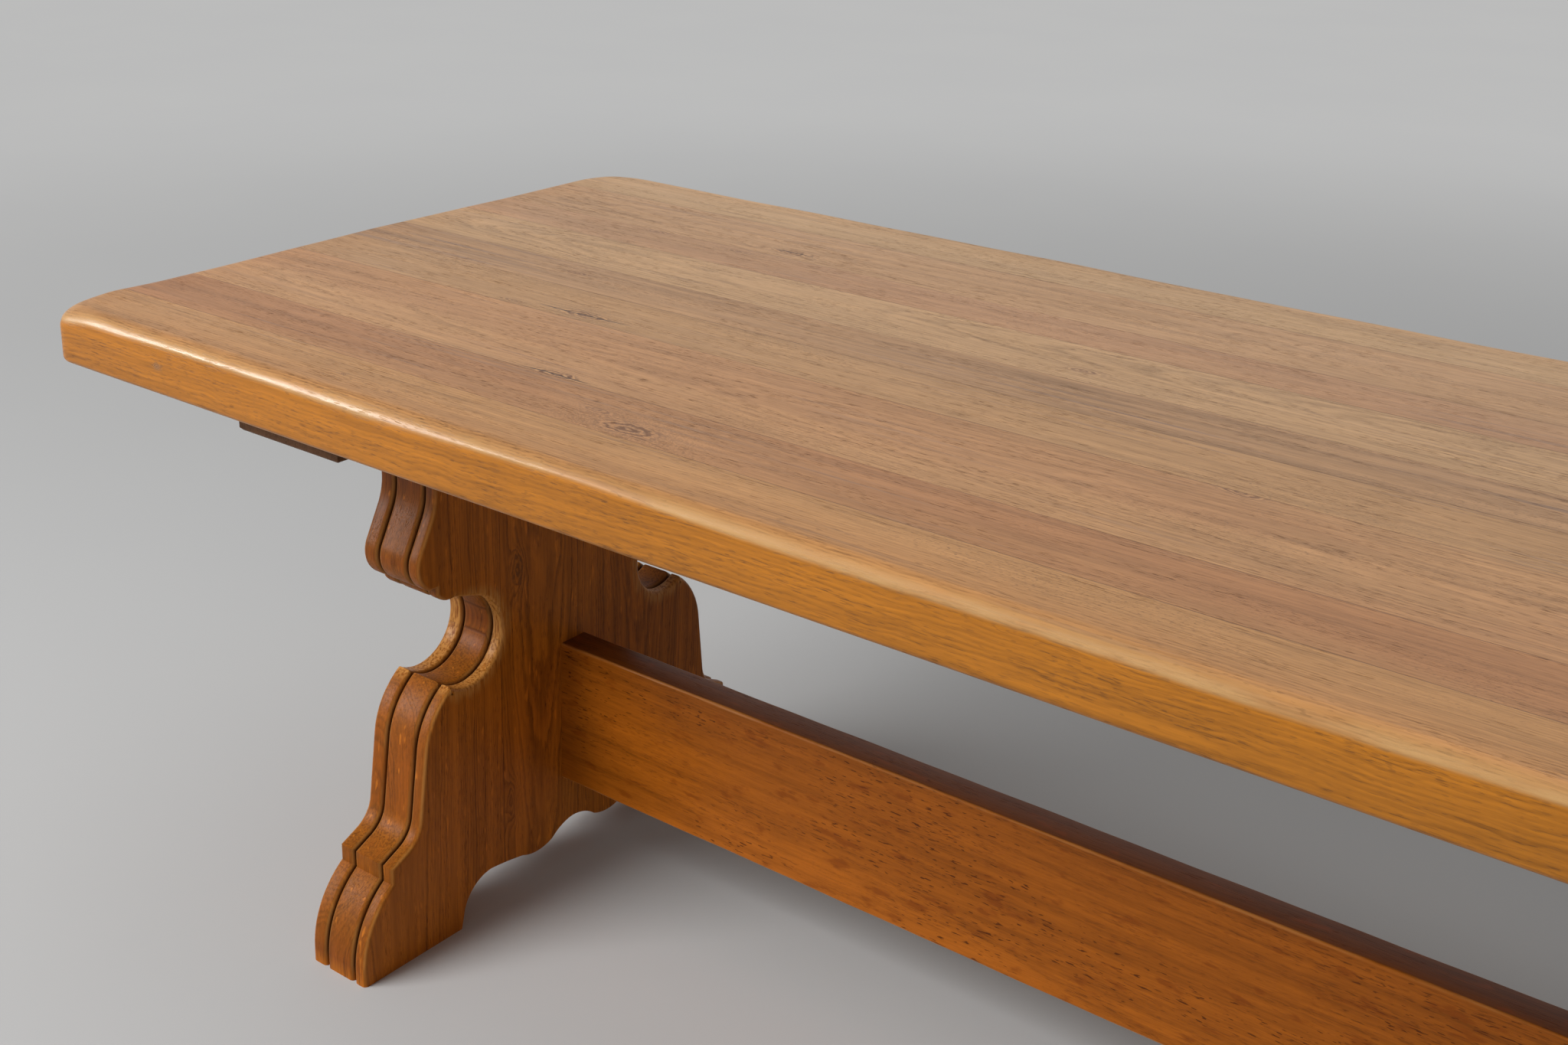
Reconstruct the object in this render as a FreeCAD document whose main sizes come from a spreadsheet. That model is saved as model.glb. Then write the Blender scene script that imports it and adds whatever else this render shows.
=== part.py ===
import FreeCAD, Part
import math
import os
import Sketcher

# Trestle dining table in solid oak, millimetres, +Z up.
# The origin is on the floor under the middle of the top.  X runs along the top, Y across it.
#
# The top is nine edge-glued staves.  It lies on two bearers, one over each trestle.  Each trestle
# is thick upright boards, glued edge to edge and sawn to a scrolled outline whose edge is worked
# into three bands: two whole boards in the middle, and a foot and a scroll on either side of them,
# which the round cut-outs part from each other.  A deep stretcher is tenoned into both trestles
# and drawn up with bed bolts and barrel nuts.  Lag screws hold the bearers down on the trestles
# and the top on the bearers, through slots that let the top swell and shrink.

SIZES = {
    # top
    "table_height": 760,
    "top_length": 2400,
    "top_thickness": 63,
    "stave_width_one": 86,
    "stave_width_two": 88,
    "stave_width_three": 153,
    "stave_width_four": 88,
    "stave_width_five": 82,
    "stave_width_six": 108,
    "stave_width_seven": 73,
    "stave_width_eight": 119,
    "stave_width_nine": 103,
    "top_corner_radius": 24,
    "top_arris_radius": 18,
    "under_arris_radius": 6,
    "end_overhang": 248,
    # the three bands of the trestle's edge, from its outer face to its inner face
    "outer_band_width": 24,
    "middle_band_width": 45,
    "inner_band_width": 19,
    "quirk_radius": 5.5,
    "outer_face_radius": 6,
    "inner_face_radius": 5,
    # the foot, from the floor up
    "foot_half_width": 353,
    "foot_heel_height": 20,
    "foot_bulge": 12,
    "nose_half_width": 305,
    "nose_bottom_height": 113,
    "nose_height": 20,
    # the long ogee above it
    "ramp_run": 25,
    "ramp_rise": 11.6,
    "cove_run": 21.5,
    "cove_rise": 29.2,
    "cove_bulge": 4.6,
    "shoulder_half_width": 247,
    "shoulder_drop": 66,
    "shoulder_bulge": 8,
    # the round cut-out
    "cutout_centre_half_width": 176,
    "cutout_centre_height": 370,
    "cutout_radius": 54.5,
    "cutout_peak_angle": -58,
    "cutout_lip_angle": 106,
    "cutout_lip_length": 35,
    # the bead and the scroll, each step counted from the one below
    "bead_run": 27,
    "bead_rise": 11,
    "bead_bulge": 4.5,
    "bead_riser": 9,
    "bead_fillet": 10,
    "scroll_run": 14,
    "scroll_rise": 45,
    "scroll_bulge": 10,
    "neck_slope_run": 18,
    "neck_slope_rise": 35,
    "neck_cove_run": 7.5,
    "neck_cove_rise": 31,
    "neck_cove_bulge": 1.9,
    # the arch under the trestle
    "arch_half_width": 198,
    "arch_jamb_lean": 6,
    "arch_jamb_height": 25,
    "crown_half_width": 146,
    "crown_height": 58.5,
    "crown_bulge": 9,
    "crown_fall_run": 54,
    "crown_fall": 8,
    "crown_fall_bulge": 0.8,
    "lobe_width": 53,
    "lobe_bulge": 5.8,
    "cusp_height": 66,
    "cusp_bulge": 3.5,
    # glue lines between the trestle's boards, counted across the table
    "glue_line_one": -124,
    "glue_line_two": 8,
    "glue_line_three": 203,
    # bearer
    "bearer_length": 762,
    "bearer_width": 150,
    "bearer_thickness": 46,
    "bearer_chamfer": 3,
    # stretcher
    "stretcher_bottom_height": 128.5,
    "stretcher_height": 184,
    "stretcher_thickness": 43,
    "stretcher_chamfer": 1.5,
    "tenon_length": 38,
    "tenon_side_shoulder": 8.5,
    "tenon_edge_shoulder": 25,
    "tenon_clearance": 0.2,
    "mortise_end_gap": 1,
    # bed bolts, their washers, barrel nuts and plugs
    "bolt_radius": 5,
    "bolt_length": 130,
    "bolt_spacing": 92,
    "bolt_hole_clearance": 0.5,
    "bolt_head_circumradius": 9.8,
    "bolt_head_height": 6.4,
    "bolt_washer_radius": 10.5,
    "bolt_washer_thickness": 2,
    "bolt_socket_radius": 12,
    "bolt_socket_depth": 12,
    "plug_radius": 14,
    "plug_thickness": 8,
    "plug_clearance": 0.05,
    "barrel_nut_radius": 7,
    "barrel_nut_length": 24,
    "barrel_nut_setback": 45,
    "barrel_nut_clearance": 0.2,
    "thread_clearance": 0.05,
    # lag screws and their washers
    "screw_radius": 4,
    "screw_head_circumradius": 7.5,
    "screw_head_height": 5.3,
    "screw_washer_radius": 9,
    "screw_washer_thickness": 1.6,
    "screw_hole_clearance": 0.5,
    "screw_end_gap": 2,
    "bearer_screw_length": 110,
    "bearer_screw_inner_offset": 60,
    "bearer_screw_outer_offset": 165,
    "bearer_screw_socket_radius": 11,
    "bearer_screw_socket_depth": 9,
    "top_screw_length": 80,
    "top_screw_pitch": 300,
    "top_screw_edge_distance": 16,
    "top_screw_slot_length": 24,
}

# Cells that follow from the driving sizes above.
DERIVED = {
    "top_width": "stave_width_one + stave_width_two + stave_width_three + stave_width_four"
                 " + stave_width_five + stave_width_six + stave_width_seven"
                 " + stave_width_eight + stave_width_nine",
    "underside_height": "table_height - top_thickness",
    "trestle_height": "underside_height - bearer_thickness",
    "trestle_thickness": "outer_band_width + middle_band_width + inner_band_width",
    "trestle_centre": "top_length / 2 - end_overhang - trestle_thickness / 2",
    "stretcher_span": "2 * trestle_centre - trestle_thickness",
    "stretcher_middle_height": "stretcher_bottom_height + stretcher_height / 2",
    "tenon_thickness": "stretcher_thickness - 2 * tenon_side_shoulder",
    "tenon_height": "stretcher_height - 2 * tenon_edge_shoulder",
    "bolt_hole_radius": "bolt_radius + bolt_hole_clearance",
    "bolt_seat_depth": "plug_thickness + bolt_socket_depth",
    "bolt_reach": "bolt_seat_depth - bolt_washer_thickness + bolt_length - trestle_thickness",
    "outer_face_distance": "trestle_centre + trestle_thickness / 2",
    "screw_hole_radius": "screw_radius + screw_hole_clearance",
    "pilot_radius": "screw_radius + thread_clearance",
    "bearer_screw_seat_height": "underside_height - bearer_screw_socket_depth",
    "top_screw_offset": "bearer_width / 2 - top_screw_edge_distance",
}

STAVES = ("one", "two", "three", "four", "five", "six", "seven", "eight", "nine")
ENDS = {"left": -1, "right": 1}
BOLT_ROWS = ("stretcher_middle_height - bolt_spacing / 2",
             "stretcher_middle_height + bolt_spacing / 2")
BEARER_SCREW_ROWS = ("- bearer_screw_outer_offset", "- bearer_screw_inner_offset",
                     "bearer_screw_inner_offset", "bearer_screw_outer_offset")
TOP_SCREW_ROWS = ("- top_screw_pitch", "0", "top_screw_pitch")
# Rotations that turn a bar from +Z to the axis it is named by.
TURNS = {
    "x": FreeCAD.Rotation(FreeCAD.Vector(0, 1, 0), 90),
    "y": FreeCAD.Rotation(FreeCAD.Vector(1, 0, 0), -90),
    "z": FreeCAD.Rotation(),
}

doc = FreeCAD.newDocument("trestle_table")
sheet = doc.addObject("Spreadsheet::Sheet", "sizes")


def fill_sheet():
    """Write every size in column B of the sheet, its name in column A, and alias the cell."""
    cells = [(name, str(value)) for name, value in SIZES.items()]
    cells += [(name, "=" + formula) for name, formula in DERIVED.items()]
    for row, (name, text) in enumerate(cells, start=1):
        sheet.set(f"A{row}", name)
        sheet.set(f"B{row}", text)
        sheet.setAlias(f"B{row}", name)
    doc.recompute()


def size(name):
    """Give the value of a cell of the sheet."""
    return float(sheet.get(name))


# ---------------------------------------------------------------- bound Part objects

def bind(part, **formulas):
    """Bind properties of a part to formulas; x, y and z place it, and names follow the sheet."""
    for key, formula in formulas.items():
        target = f"Placement.Base.{key}" if key in ("x", "y", "z") else key
        part.setExpression(target, in_sheet(formula))
    return part


def in_sheet(formula):
    """Prefix every size named in a formula with the sheet's name."""
    words = str(formula).replace("(", " ( ").replace(")", " ) ").split()
    known = set(SIZES) | set(DERIVED)
    return " ".join(f"sizes.{word}" if word in known else word for word in words)


def box(name, length, width, height, **place):
    """Make a block with its low corner at the given place."""
    part = doc.addObject("Part::Box", name)
    return bind(part, Length=length, Width=width, Height=height, **place)


def cylinder(name, radius, height, axis="z", **place):
    """Make a round bar that starts at the given place and runs along +X, +Y or +Z."""
    part = doc.addObject("Part::Cylinder", name)
    part.Placement.Rotation = TURNS[axis]
    return bind(part, Radius=radius, Height=height, **place)


def hexagon(name, circumradius, height, axis="z", **place):
    """Make a six-sided bar that starts at the given place and runs along +X, +Y or +Z."""
    part = doc.addObject("Part::Prism", name)
    part.Polygon = 6
    part.Placement.Rotation = TURNS[axis]
    return bind(part, Circumradius=circumradius, Height=height, **place)


def ring(name, outer, hole, length, axis="z", **place):
    """Make a washer, or any other bar with a hole along its axis."""
    disc = cylinder(f"{name}_disc", outer, length, axis, **place)
    core = cylinder(f"{name}_hole", hole, length, axis, **place)
    return cut(name, disc, core)


def fuse(name, parts):
    """Join several parts into one solid."""
    part = doc.addObject("Part::MultiFuse", name)
    part.Shapes = parts
    return part


def cut(name, base, tool):
    """Take one part away from another."""
    part = doc.addObject("Part::Cut", name)
    part.Base = base
    part.Tool = tool
    return part


def common(name, base, tool):
    """Keep what two parts share."""
    part = doc.addObject("Part::Common", name)
    part.Base = base
    part.Tool = tool
    return part


def group(name, parts):
    """Hold identical pieces together as separate solids."""
    part = doc.addObject("Part::Compound", name)
    part.Links = parts
    return part


def fillet(name, base, wanted, radius):
    """Round the edges of a part that pass a test."""
    doc.recompute()
    edges = enumerate(base.Shape.Edges, start=1)
    part = doc.addObject("Part::Fillet", name)
    part.Base = base
    part.Edges = [(number, radius, radius) for number, edge in edges if wanted(edge)]
    return part


# ---------------------------------------------------------------- sketched bodies

def new_body(name):
    """Start a PartDesign body."""
    return doc.addObject("PartDesign::Body", name)


def sketch_on(body, name, role, offset=None):
    """Lay a sketch on one of the body's own origin planes, moved along its normal if asked."""
    plane = [plane for plane in body.Origin.OriginFeatures if plane.Role == role][0]
    sketch = body.newObject("Sketcher::SketchObject", name)
    sketch.AttachmentSupport = [(plane, "")]
    sketch.MapMode = "FlatFace"
    if offset:
        sketch.setExpression("AttachmentOffset.Base.z", in_sheet(offset))
    return sketch


def draw_rectangle(sketch, low_x, high_x, low_y, high_y):
    """Draw a rectangle whose four sides stand at given distances from the sketch's origin."""
    first = sketch.GeometryCount
    corners = [(-1, -1), (1, -1), (1, 1), (-1, 1)]
    for here, there in zip(corners, corners[1:] + corners[:1]):
        start = FreeCAD.Vector(here[0], here[1], 0)
        end = FreeCAD.Vector(there[0], there[1], 0)
        sketch.addGeometry(Part.LineSegment(start, end))
    for side in range(4):
        following = first + (side + 1) % 4
        sketch.addConstraint(Sketcher.Constraint("Coincident", first + side, 2, following, 1))
    for side in (0, 2):
        sketch.addConstraint(Sketcher.Constraint("Horizontal", first + side))
    for side in (1, 3):
        sketch.addConstraint(Sketcher.Constraint("Vertical", first + side))
    set_distance(sketch, "DistanceX", first, 1, low_x)
    set_distance(sketch, "DistanceX", first + 1, 1, high_x)
    set_distance(sketch, "DistanceY", first, 1, low_y)
    set_distance(sketch, "DistanceY", first + 2, 1, high_y)


def draw_circle(sketch, centre_x, centre_y, radius):
    """Draw a circle by its centre and radius."""
    number = sketch.GeometryCount
    sketch.addGeometry(Part.Circle(FreeCAD.Vector(1, 1, 0), FreeCAD.Vector(0, 0, 1), 1))
    set_distance(sketch, "DistanceX", number, 3, centre_x)
    set_distance(sketch, "DistanceY", number, 3, centre_y)
    row = sketch.addConstraint(Sketcher.Constraint("Radius", number, 1))
    sketch.setExpression(f"Constraints[{row}]", in_sheet(radius))


def set_distance(sketch, kind, geometry, point, formula):
    """Hold one point of a sketch at a bound distance from the sketch's origin."""
    row = sketch.addConstraint(Sketcher.Constraint(kind, -1, 1, geometry, point, 1.0))
    sketch.setExpression(f"Constraints[{row}]", in_sheet(formula))


def pad(body, sketch, length, side="Symmetric"):
    """Raise a sketch into a solid, both ways from its plane unless told otherwise."""
    feature = body.newObject("PartDesign::Pad", sketch.Name + "_pad")
    feature.Profile = sketch
    feature.SideType = side
    feature.setExpression("Length", in_sheet(length))
    return feature


def pocket(body, sketch, length, reverse=False, other_length=None):
    """Sink a sketch into the body against its normal, or along it if reversed."""
    feature = body.newObject("PartDesign::Pocket", sketch.Name + "_pocket")
    feature.Profile = sketch
    feature.Reversed = reverse
    feature.setExpression("Length", in_sheet(length))
    if other_length:
        feature.SideType = "Two sides"
        feature.setExpression("Length2", in_sheet(other_length))
    volume_before = feature.BaseFeature.Shape.Volume
    doc.recompute()
    if feature.Shape.Volume >= volume_before:
        raise RuntimeError(f"{feature.Name} cuts nothing")
    return feature


def chamfer(body, name, width, wanted):
    """Chamfer the edges of a body whose extents pass a test."""
    doc.recompute()
    base = body.Tip
    rim = [f"Edge{number}" for number, edge in enumerate(base.Shape.Edges, start=1)
           if wanted(edge.BoundBox)]
    feature = body.newObject("PartDesign::Chamfer", name)
    feature.Base = (base, rim)
    feature.setExpression("Size", in_sheet(width))
    doc.recompute()
    return feature


# ---------------------------------------------------------------- top

def make_top(pilots):
    """Round the edges of one wide board, bore it for its screws and part it into staves."""
    board = box("top_board", "top_length", "top_width", "top_thickness",
                x="- top_length / 2", y="- top_width / 2", z="underside_height")
    upright = fillet("top_corners", board, is_upright, size("top_corner_radius"))
    upper = fillet("top_upper_edge", upright, lies_at("table_height"), size("top_arris_radius"))
    lower = fillet("top_lower_edge", upper, lies_at("underside_height"), size("under_arris_radius"))
    bored = cut("top_bored", lower, pilots)
    edge = "- top_width / 2"
    staves = []
    for number, word in enumerate(STAVES, start=1):
        width = f"stave_width_{word}"
        slot = box(f"stave_place_{word}", "top_length", width, "top_thickness",
                   x="- top_length / 2", y=edge, z="underside_height")
        staves.append(common(f"top_stave_{number}", bored, slot))
        edge = f"{edge} + {width}"
    return staves


def is_upright(edge):
    """Say whether an edge runs straight up."""
    box_of_edge = edge.BoundBox
    return box_of_edge.XLength < 0.01 and box_of_edge.YLength < 0.01


def lies_at(name):
    """Make a test for edges that lie flat at a named height."""
    height = size(name)

    def test(edge):
        return edge.BoundBox.ZLength < 0.01 and abs(edge.BoundBox.ZMin - height) < 0.01
    return test


# ---------------------------------------------------------------- trestle outline

class Outline:
    """One side of an outline, drawn point by point in half width and height."""

    def __init__(self, half_width, height):
        self.points = [(half_width, height)]
        self.bulges = []

    def to(self, half_width, height, bulge=0.0):
        """Go to a point, straight or by an arc that swells outwards by the bulge."""
        self.points.append((half_width, height))
        self.bulges.append(bulge)

    def step(self, run, rise, bulge=0.0):
        """Go a given way outwards and upwards from the last point."""
        half_width, height = self.points[-1]
        self.to(half_width + run, height + rise, bulge)

    def edges(self, side):
        """Give the edges on one side: +1 for +Y, -1 for -Y, the latter from top to bottom."""
        edges = []
        for start, end, bulge in zip(self.points, self.points[1:], self.bulges):
            first = at(side * start[0], start[1])
            last = at(side * end[0], end[1])
            if side < 0:
                first, last = last, first
            if abs(bulge) < 1e-9:
                edges.append(Part.LineSegment(first, last).toShape())
            else:
                middle = bulged_middle(start, end, bulge)
                middle = at(side * middle[0], middle[1])
                edges.append(Part.Arc(first, middle, last).toShape())
        return edges if side > 0 else edges[::-1]


def at(y, z):
    """Give a point of the trestle's outline, in the plane across the table."""
    return FreeCAD.Vector(0, y, z)


def bulged_middle(start, end, bulge):
    """Give the middle of an arc that swells to the right of its chord by the bulge."""
    run = end[0] - start[0]
    rise = end[1] - start[1]
    chord = math.hypot(run, rise)
    middle_run = (start[0] + end[0]) / 2 + bulge * rise / chord
    middle_rise = (start[1] + end[1]) / 2 - bulge * run / chord
    return middle_run, middle_rise


def on_cutout(angle):
    """Give the point of the round cut-out at an angle in degrees, 0 outwards and 90 upwards."""
    turn = math.radians(angle)
    half_width = size("cutout_centre_half_width") + size("cutout_radius") * math.cos(turn)
    height = size("cutout_centre_height") + size("cutout_radius") * math.sin(turn)
    return half_width, height


def side_outline():
    """Draw the trestle's side from the floor to the bearer."""
    side = Outline(size("foot_half_width"), 0)
    side.step(0, size("foot_heel_height"))
    side.to(size("nose_half_width"), size("nose_bottom_height"), size("foot_bulge"))
    side.step(0, size("nose_height"))
    side.step(-size("ramp_run"), size("ramp_rise"))
    side.step(-size("cove_run"), size("cove_rise"), -size("cove_bulge"))
    peak = on_cutout(size("cutout_peak_angle"))
    side.to(size("shoulder_half_width"), peak[1] - size("shoulder_drop"))
    side.to(peak[0], peak[1], size("shoulder_bulge"))
    # The cut-out goes from its outer peak round by the bottom and the inner side to its lip.
    innermost = on_cutout(180)
    lip = size("cutout_lip_angle")
    for start, end in ((size("cutout_peak_angle"), -180), (180, lip)):
        depth = size("cutout_radius") * (1 - math.cos(math.radians(abs(end - start)) / 2))
        corner = innermost if end == -180 else on_cutout(end)
        side.to(corner[0], corner[1], -depth)
    leave = math.radians(lip - 90)
    length = size("cutout_lip_length")
    side.step(length * math.cos(leave), length * math.sin(leave))
    side.step(size("bead_run"), size("bead_rise"), size("bead_bulge"))
    side.step(0, size("bead_riser"))
    side.step(size("bead_fillet"), 0)
    side.step(size("scroll_run"), size("scroll_rise"), size("scroll_bulge"))
    side.step(-size("neck_slope_run"), size("neck_slope_rise"))
    side.step(-size("neck_cove_run"), size("neck_cove_rise"), -size("neck_cove_bulge"))
    side.to(side.points[-1][0], size("trestle_height"))
    return side


def arch_outline():
    """Draw half of the arch between the feet, from the floor to the cusp in the middle."""
    half = Outline(size("arch_half_width"), 0)
    half.step(-size("arch_jamb_lean"), size("arch_jamb_height"))
    half.to(size("crown_half_width"), size("crown_height"), size("crown_bulge"))
    half.step(-size("crown_fall_run"), -size("crown_fall"), size("crown_fall_bulge"))
    half.step(-size("lobe_width"), 0, -size("lobe_bulge"))
    half.to(0, size("cusp_height"), size("cusp_bulge"))
    return half


def closed_face(outline):
    """Close an outline that is the same on both sides of the middle into a flat face."""
    far = outline.edges(1)
    near = outline.edges(-1)
    far_start, far_end = at(*outline.points[0]), at(*outline.points[-1])
    near_start = at(-outline.points[0][0], outline.points[0][1])
    near_end = at(-outline.points[-1][0], outline.points[-1][1])
    edges = list(far)
    if (far_end - near_end).Length > 0.001:
        edges.append(Part.LineSegment(far_end, near_end).toShape())
    edges += near
    edges.append(Part.LineSegment(near_start, far_start).toShape())
    return Part.Face(Part.Wire(edges))


def moulded_band(face, low_x, width, low_radius, high_radius):
    """Raise one band of the trestle and round its side edges on both of its faces."""
    band = face.extrude(FreeCAD.Vector(width, 0, 0))
    band.translate(FreeCAD.Vector(low_x, 0, 0))
    for plane, radius in ((low_x, low_radius), (low_x + width, high_radius)):
        band = band.makeFillet(radius, [edge for edge in band.Edges if is_side(edge, plane)])
    return band


def is_side(edge, plane):
    """Say whether an edge lies in a face of a band and on the outline's sides."""
    extent = edge.BoundBox
    in_plane = extent.XLength < 0.001 and abs(extent.XMin - plane) < 0.001
    level = extent.ZLength < 0.001
    on_floor = level and extent.ZMin < 0.001
    on_top = level and extent.ZMax > size("trestle_height") - 0.001
    return in_plane and not on_floor and not on_top


def bar(radius, length, start, direction):
    """Make a round bar as a plain shape."""
    return Part.makeCylinder(radius, length, start, direction)


def trestle_cutters():
    """Give everything that is taken out of a trestle: arch, mortise, bolt holes, pilot holes."""
    half = size("trestle_thickness") / 2
    inwards = FreeCAD.Vector(1, 0, 0)
    arch = closed_face(arch_outline()).extrude(FreeCAD.Vector(2 * half, 0, 0))
    arch.translate(FreeCAD.Vector(-half, 0, 0))
    gap = size("tenon_clearance")
    mortise_width = size("tenon_thickness") + 2 * gap
    mortise_height = size("tenon_height") + 2 * gap
    mortise_depth = size("tenon_length") + size("mortise_end_gap")
    middle = size("stretcher_middle_height")
    corner = FreeCAD.Vector(half - mortise_depth, -mortise_width / 2, middle - mortise_height / 2)
    cutters = [arch, Part.makeBox(mortise_depth, mortise_width, mortise_height, corner)]
    for sign in (-1, 1):
        start = FreeCAD.Vector(-half, 0, middle + sign * size("bolt_spacing") / 2)
        cutters.append(bar(size("bolt_hole_radius"), 2 * half, start, inwards))
        cutters.append(bar(size("bolt_socket_radius"), size("bolt_seat_depth"), start, inwards))
        cutters.append(bar(size("plug_radius"), size("plug_thickness"), start, inwards))
    downwards = FreeCAD.Vector(0, 0, -1)
    reach = size("bearer_screw_length") + size("screw_end_gap")
    depth = size("trestle_height") - size("bearer_screw_seat_height") + reach
    for sign in (-1, 1):
        for offset in ("bearer_screw_inner_offset", "bearer_screw_outer_offset"):
            start = FreeCAD.Vector(0, sign * size(offset), size("trestle_height"))
            cutters.append(bar(size("pilot_radius"), depth, start, downwards))
    return cutters


def make_panel():
    """Mould the whole trestle in three bands and cut out its arch, mortise and holes."""
    face = closed_face(side_outline())
    quirk = size("quirk_radius")
    low = -size("trestle_thickness") / 2
    bands = (("outer_band_width", face_radius("outer"), quirk),
             ("middle_band_width", quirk, quirk),
             ("inner_band_width", quirk, face_radius("inner")))
    panel = None
    for name, low_radius, high_radius in bands:
        band = moulded_band(face, low, size(name), low_radius, high_radius)
        panel = panel.fuse(band) if panel else band
        low += size(name)
    return panel.removeSplitter().cut(trestle_cutters())


def board_places():
    """Give each board's name, its two sides across the table, its bottom and its top."""
    edge = size("foot_half_width") + size("foot_bulge")
    split = size("cutout_centre_height")
    head = size("trestle_height")
    one, two, three = (size(f"glue_line_{word}") for word in ("one", "two", "three"))
    return (("wide_foot", -edge, one, 0, split),
            ("wide_scroll", -edge, one, split, head),
            ("narrow_board", one, two, 0, head),
            ("wide_board", two, three, 0, head),
            ("narrow_foot", three, edge, 0, split),
            ("narrow_scroll", three, edge, split, head))


def make_trestles():
    """Part the moulded trestle into boards and set them up twice, turned about at the right."""
    panel = make_panel()
    thickness = size("trestle_thickness")
    boards = []
    for name, near, far, bottom, head in board_places():
        corner = FreeCAD.Vector(-thickness / 2, near, bottom)
        place = Part.makeBox(thickness, far - near, head - bottom, corner)
        piece = panel.common(place)
        shape = piece.Solids[0] if len(piece.Solids) == 1 else piece
        for end, sign in ENDS.items():
            board = doc.addObject("Part::Feature", f"{end}_trestle_{name}")
            board.Shape = shape
            turn = FreeCAD.Rotation(FreeCAD.Vector(0, 0, 1), 0 if sign < 0 else 180)
            middle = FreeCAD.Vector(sign * size("trestle_centre"), 0, 0)
            board.Placement = FreeCAD.Placement(middle, turn)
            boards.append(board)
    return boards


def face_radius(which):
    """Give the rounding of an outer or inner arris, kept clear of the quirk on a narrow band."""
    room = size(f"{which}_band_width") - size("quirk_radius")
    return min(size(f"{which}_face_radius"), 0.95 * room)


# ---------------------------------------------------------------- bearers

def make_bearer(end, sign):
    """Pad a bearer, slot it for the top's screws and bore it for its own."""
    body = new_body(f"{end}_bearer")
    outline = sketch_on(body, f"{end}_bearer_outline", "XY_Plane")
    draw_rectangle(outline, "- bearer_width / 2", "bearer_width / 2",
                   "- bearer_length / 2", "bearer_length / 2")
    pad(body, outline, "bearer_thickness", "One side")
    chamfer(body, f"{end}_bearer_chamfer", "bearer_chamfer", lambda extent: extent.ZMax < 0.01)
    slot_bearer(body, end)
    bore_bearer(body, end)
    return bind(body, x=f"{sign} * trestle_centre", z="trestle_height")


def slot_bearer(body, end):
    """Cut the slots for the top's screws: three along each side, square first, then round ends."""
    half = "( top_screw_slot_length / 2 - screw_hole_radius )"
    sides = ("- top_screw_offset", "top_screw_offset")
    places = [(side, row) for side in sides for row in TOP_SCREW_ROWS]
    slots = sketch_on(body, f"{end}_bearer_slots", "XY_Plane")
    for side, row in places:
        draw_rectangle(slots, f"{side} - screw_hole_radius", f"{side} + screw_hole_radius",
                       f"{row} - {half}", f"{row} + {half}")
    pocket(body, slots, "bearer_thickness", reverse=True)
    for way, name in (("-", "near"), ("+", "far")):
        ends = sketch_on(body, f"{end}_bearer_slot_{name}_ends", "XY_Plane")
        for side, row in places:
            draw_circle(ends, side, f"{row} {way} {half}", "screw_hole_radius")
        pocket(body, ends, "bearer_thickness", reverse=True)


def bore_bearer(body, end):
    """Bore the bearer for the screws that hold it on the trestle, with sockets for their heads."""
    holes = sketch_on(body, f"{end}_bearer_holes", "XY_Plane")
    sockets = sketch_on(body, f"{end}_bearer_sockets", "XY_Plane", "bearer_thickness")
    for offset in BEARER_SCREW_ROWS:
        draw_circle(holes, "0", offset, "screw_hole_radius")
        draw_circle(sockets, "0", offset, "bearer_screw_socket_radius")
    pocket(body, holes, "bearer_thickness", reverse=True)
    pocket(body, sockets, "bearer_screw_socket_depth")


# ---------------------------------------------------------------- stretcher

def make_stretcher():
    """Pad the stretcher and its tenons, then bore them for the bed bolts and barrel nuts."""
    body = new_body("stretcher")
    middle = "stretcher_middle_height"
    plank = sketch_on(body, "stretcher_section", "YZ_Plane")
    draw_rectangle(plank, "- stretcher_thickness / 2", "stretcher_thickness / 2",
                   f"{middle} - stretcher_height / 2", f"{middle} + stretcher_height / 2")
    pad(body, plank, "stretcher_span")
    long_edge = size("stretcher_span") - 1
    chamfer(body, "stretcher_arrises", "stretcher_chamfer", lambda extent: extent.XLength > long_edge)
    tenon = sketch_on(body, "tenon_section", "YZ_Plane")
    draw_rectangle(tenon, "- tenon_thickness / 2", "tenon_thickness / 2",
                   f"{middle} - tenon_height / 2", f"{middle} + tenon_height / 2")
    pad(body, tenon, "stretcher_span + 2 * tenon_length")
    doc.recompute()
    for end, sign in ENDS.items():
        bores = sketch_on(body, f"{end}_bolt_bores", "YZ_Plane",
                          f"{sign} * ( stretcher_span / 2 + tenon_length )")
        for row in BOLT_ROWS:
            draw_circle(bores, "0", row, "bolt_hole_radius")
        pocket(body, bores, "tenon_length + bolt_reach + screw_end_gap", reverse=sign < 0)
    nuts = sketch_on(body, "barrel_nut_holes", "XZ_Plane")
    for sign in ENDS.values():
        for row in BOLT_ROWS:
            draw_circle(nuts, f"{sign} * ( stretcher_span / 2 - barrel_nut_setback )", row,
                        "barrel_nut_radius + barrel_nut_clearance")
    pocket(body, nuts, "stretcher_thickness / 2", other_length="barrel_nut_length / 2")
    return body


# ---------------------------------------------------------------- fasteners

def inwards(length, sign, distance, row):
    """Place a bar along X that starts at a distance from the table's middle and runs inwards."""
    start = f"{distance} - {length}" if sign > 0 else f"- ( {distance} )"
    return {"axis": "x", "x": start, "z": row}


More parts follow.
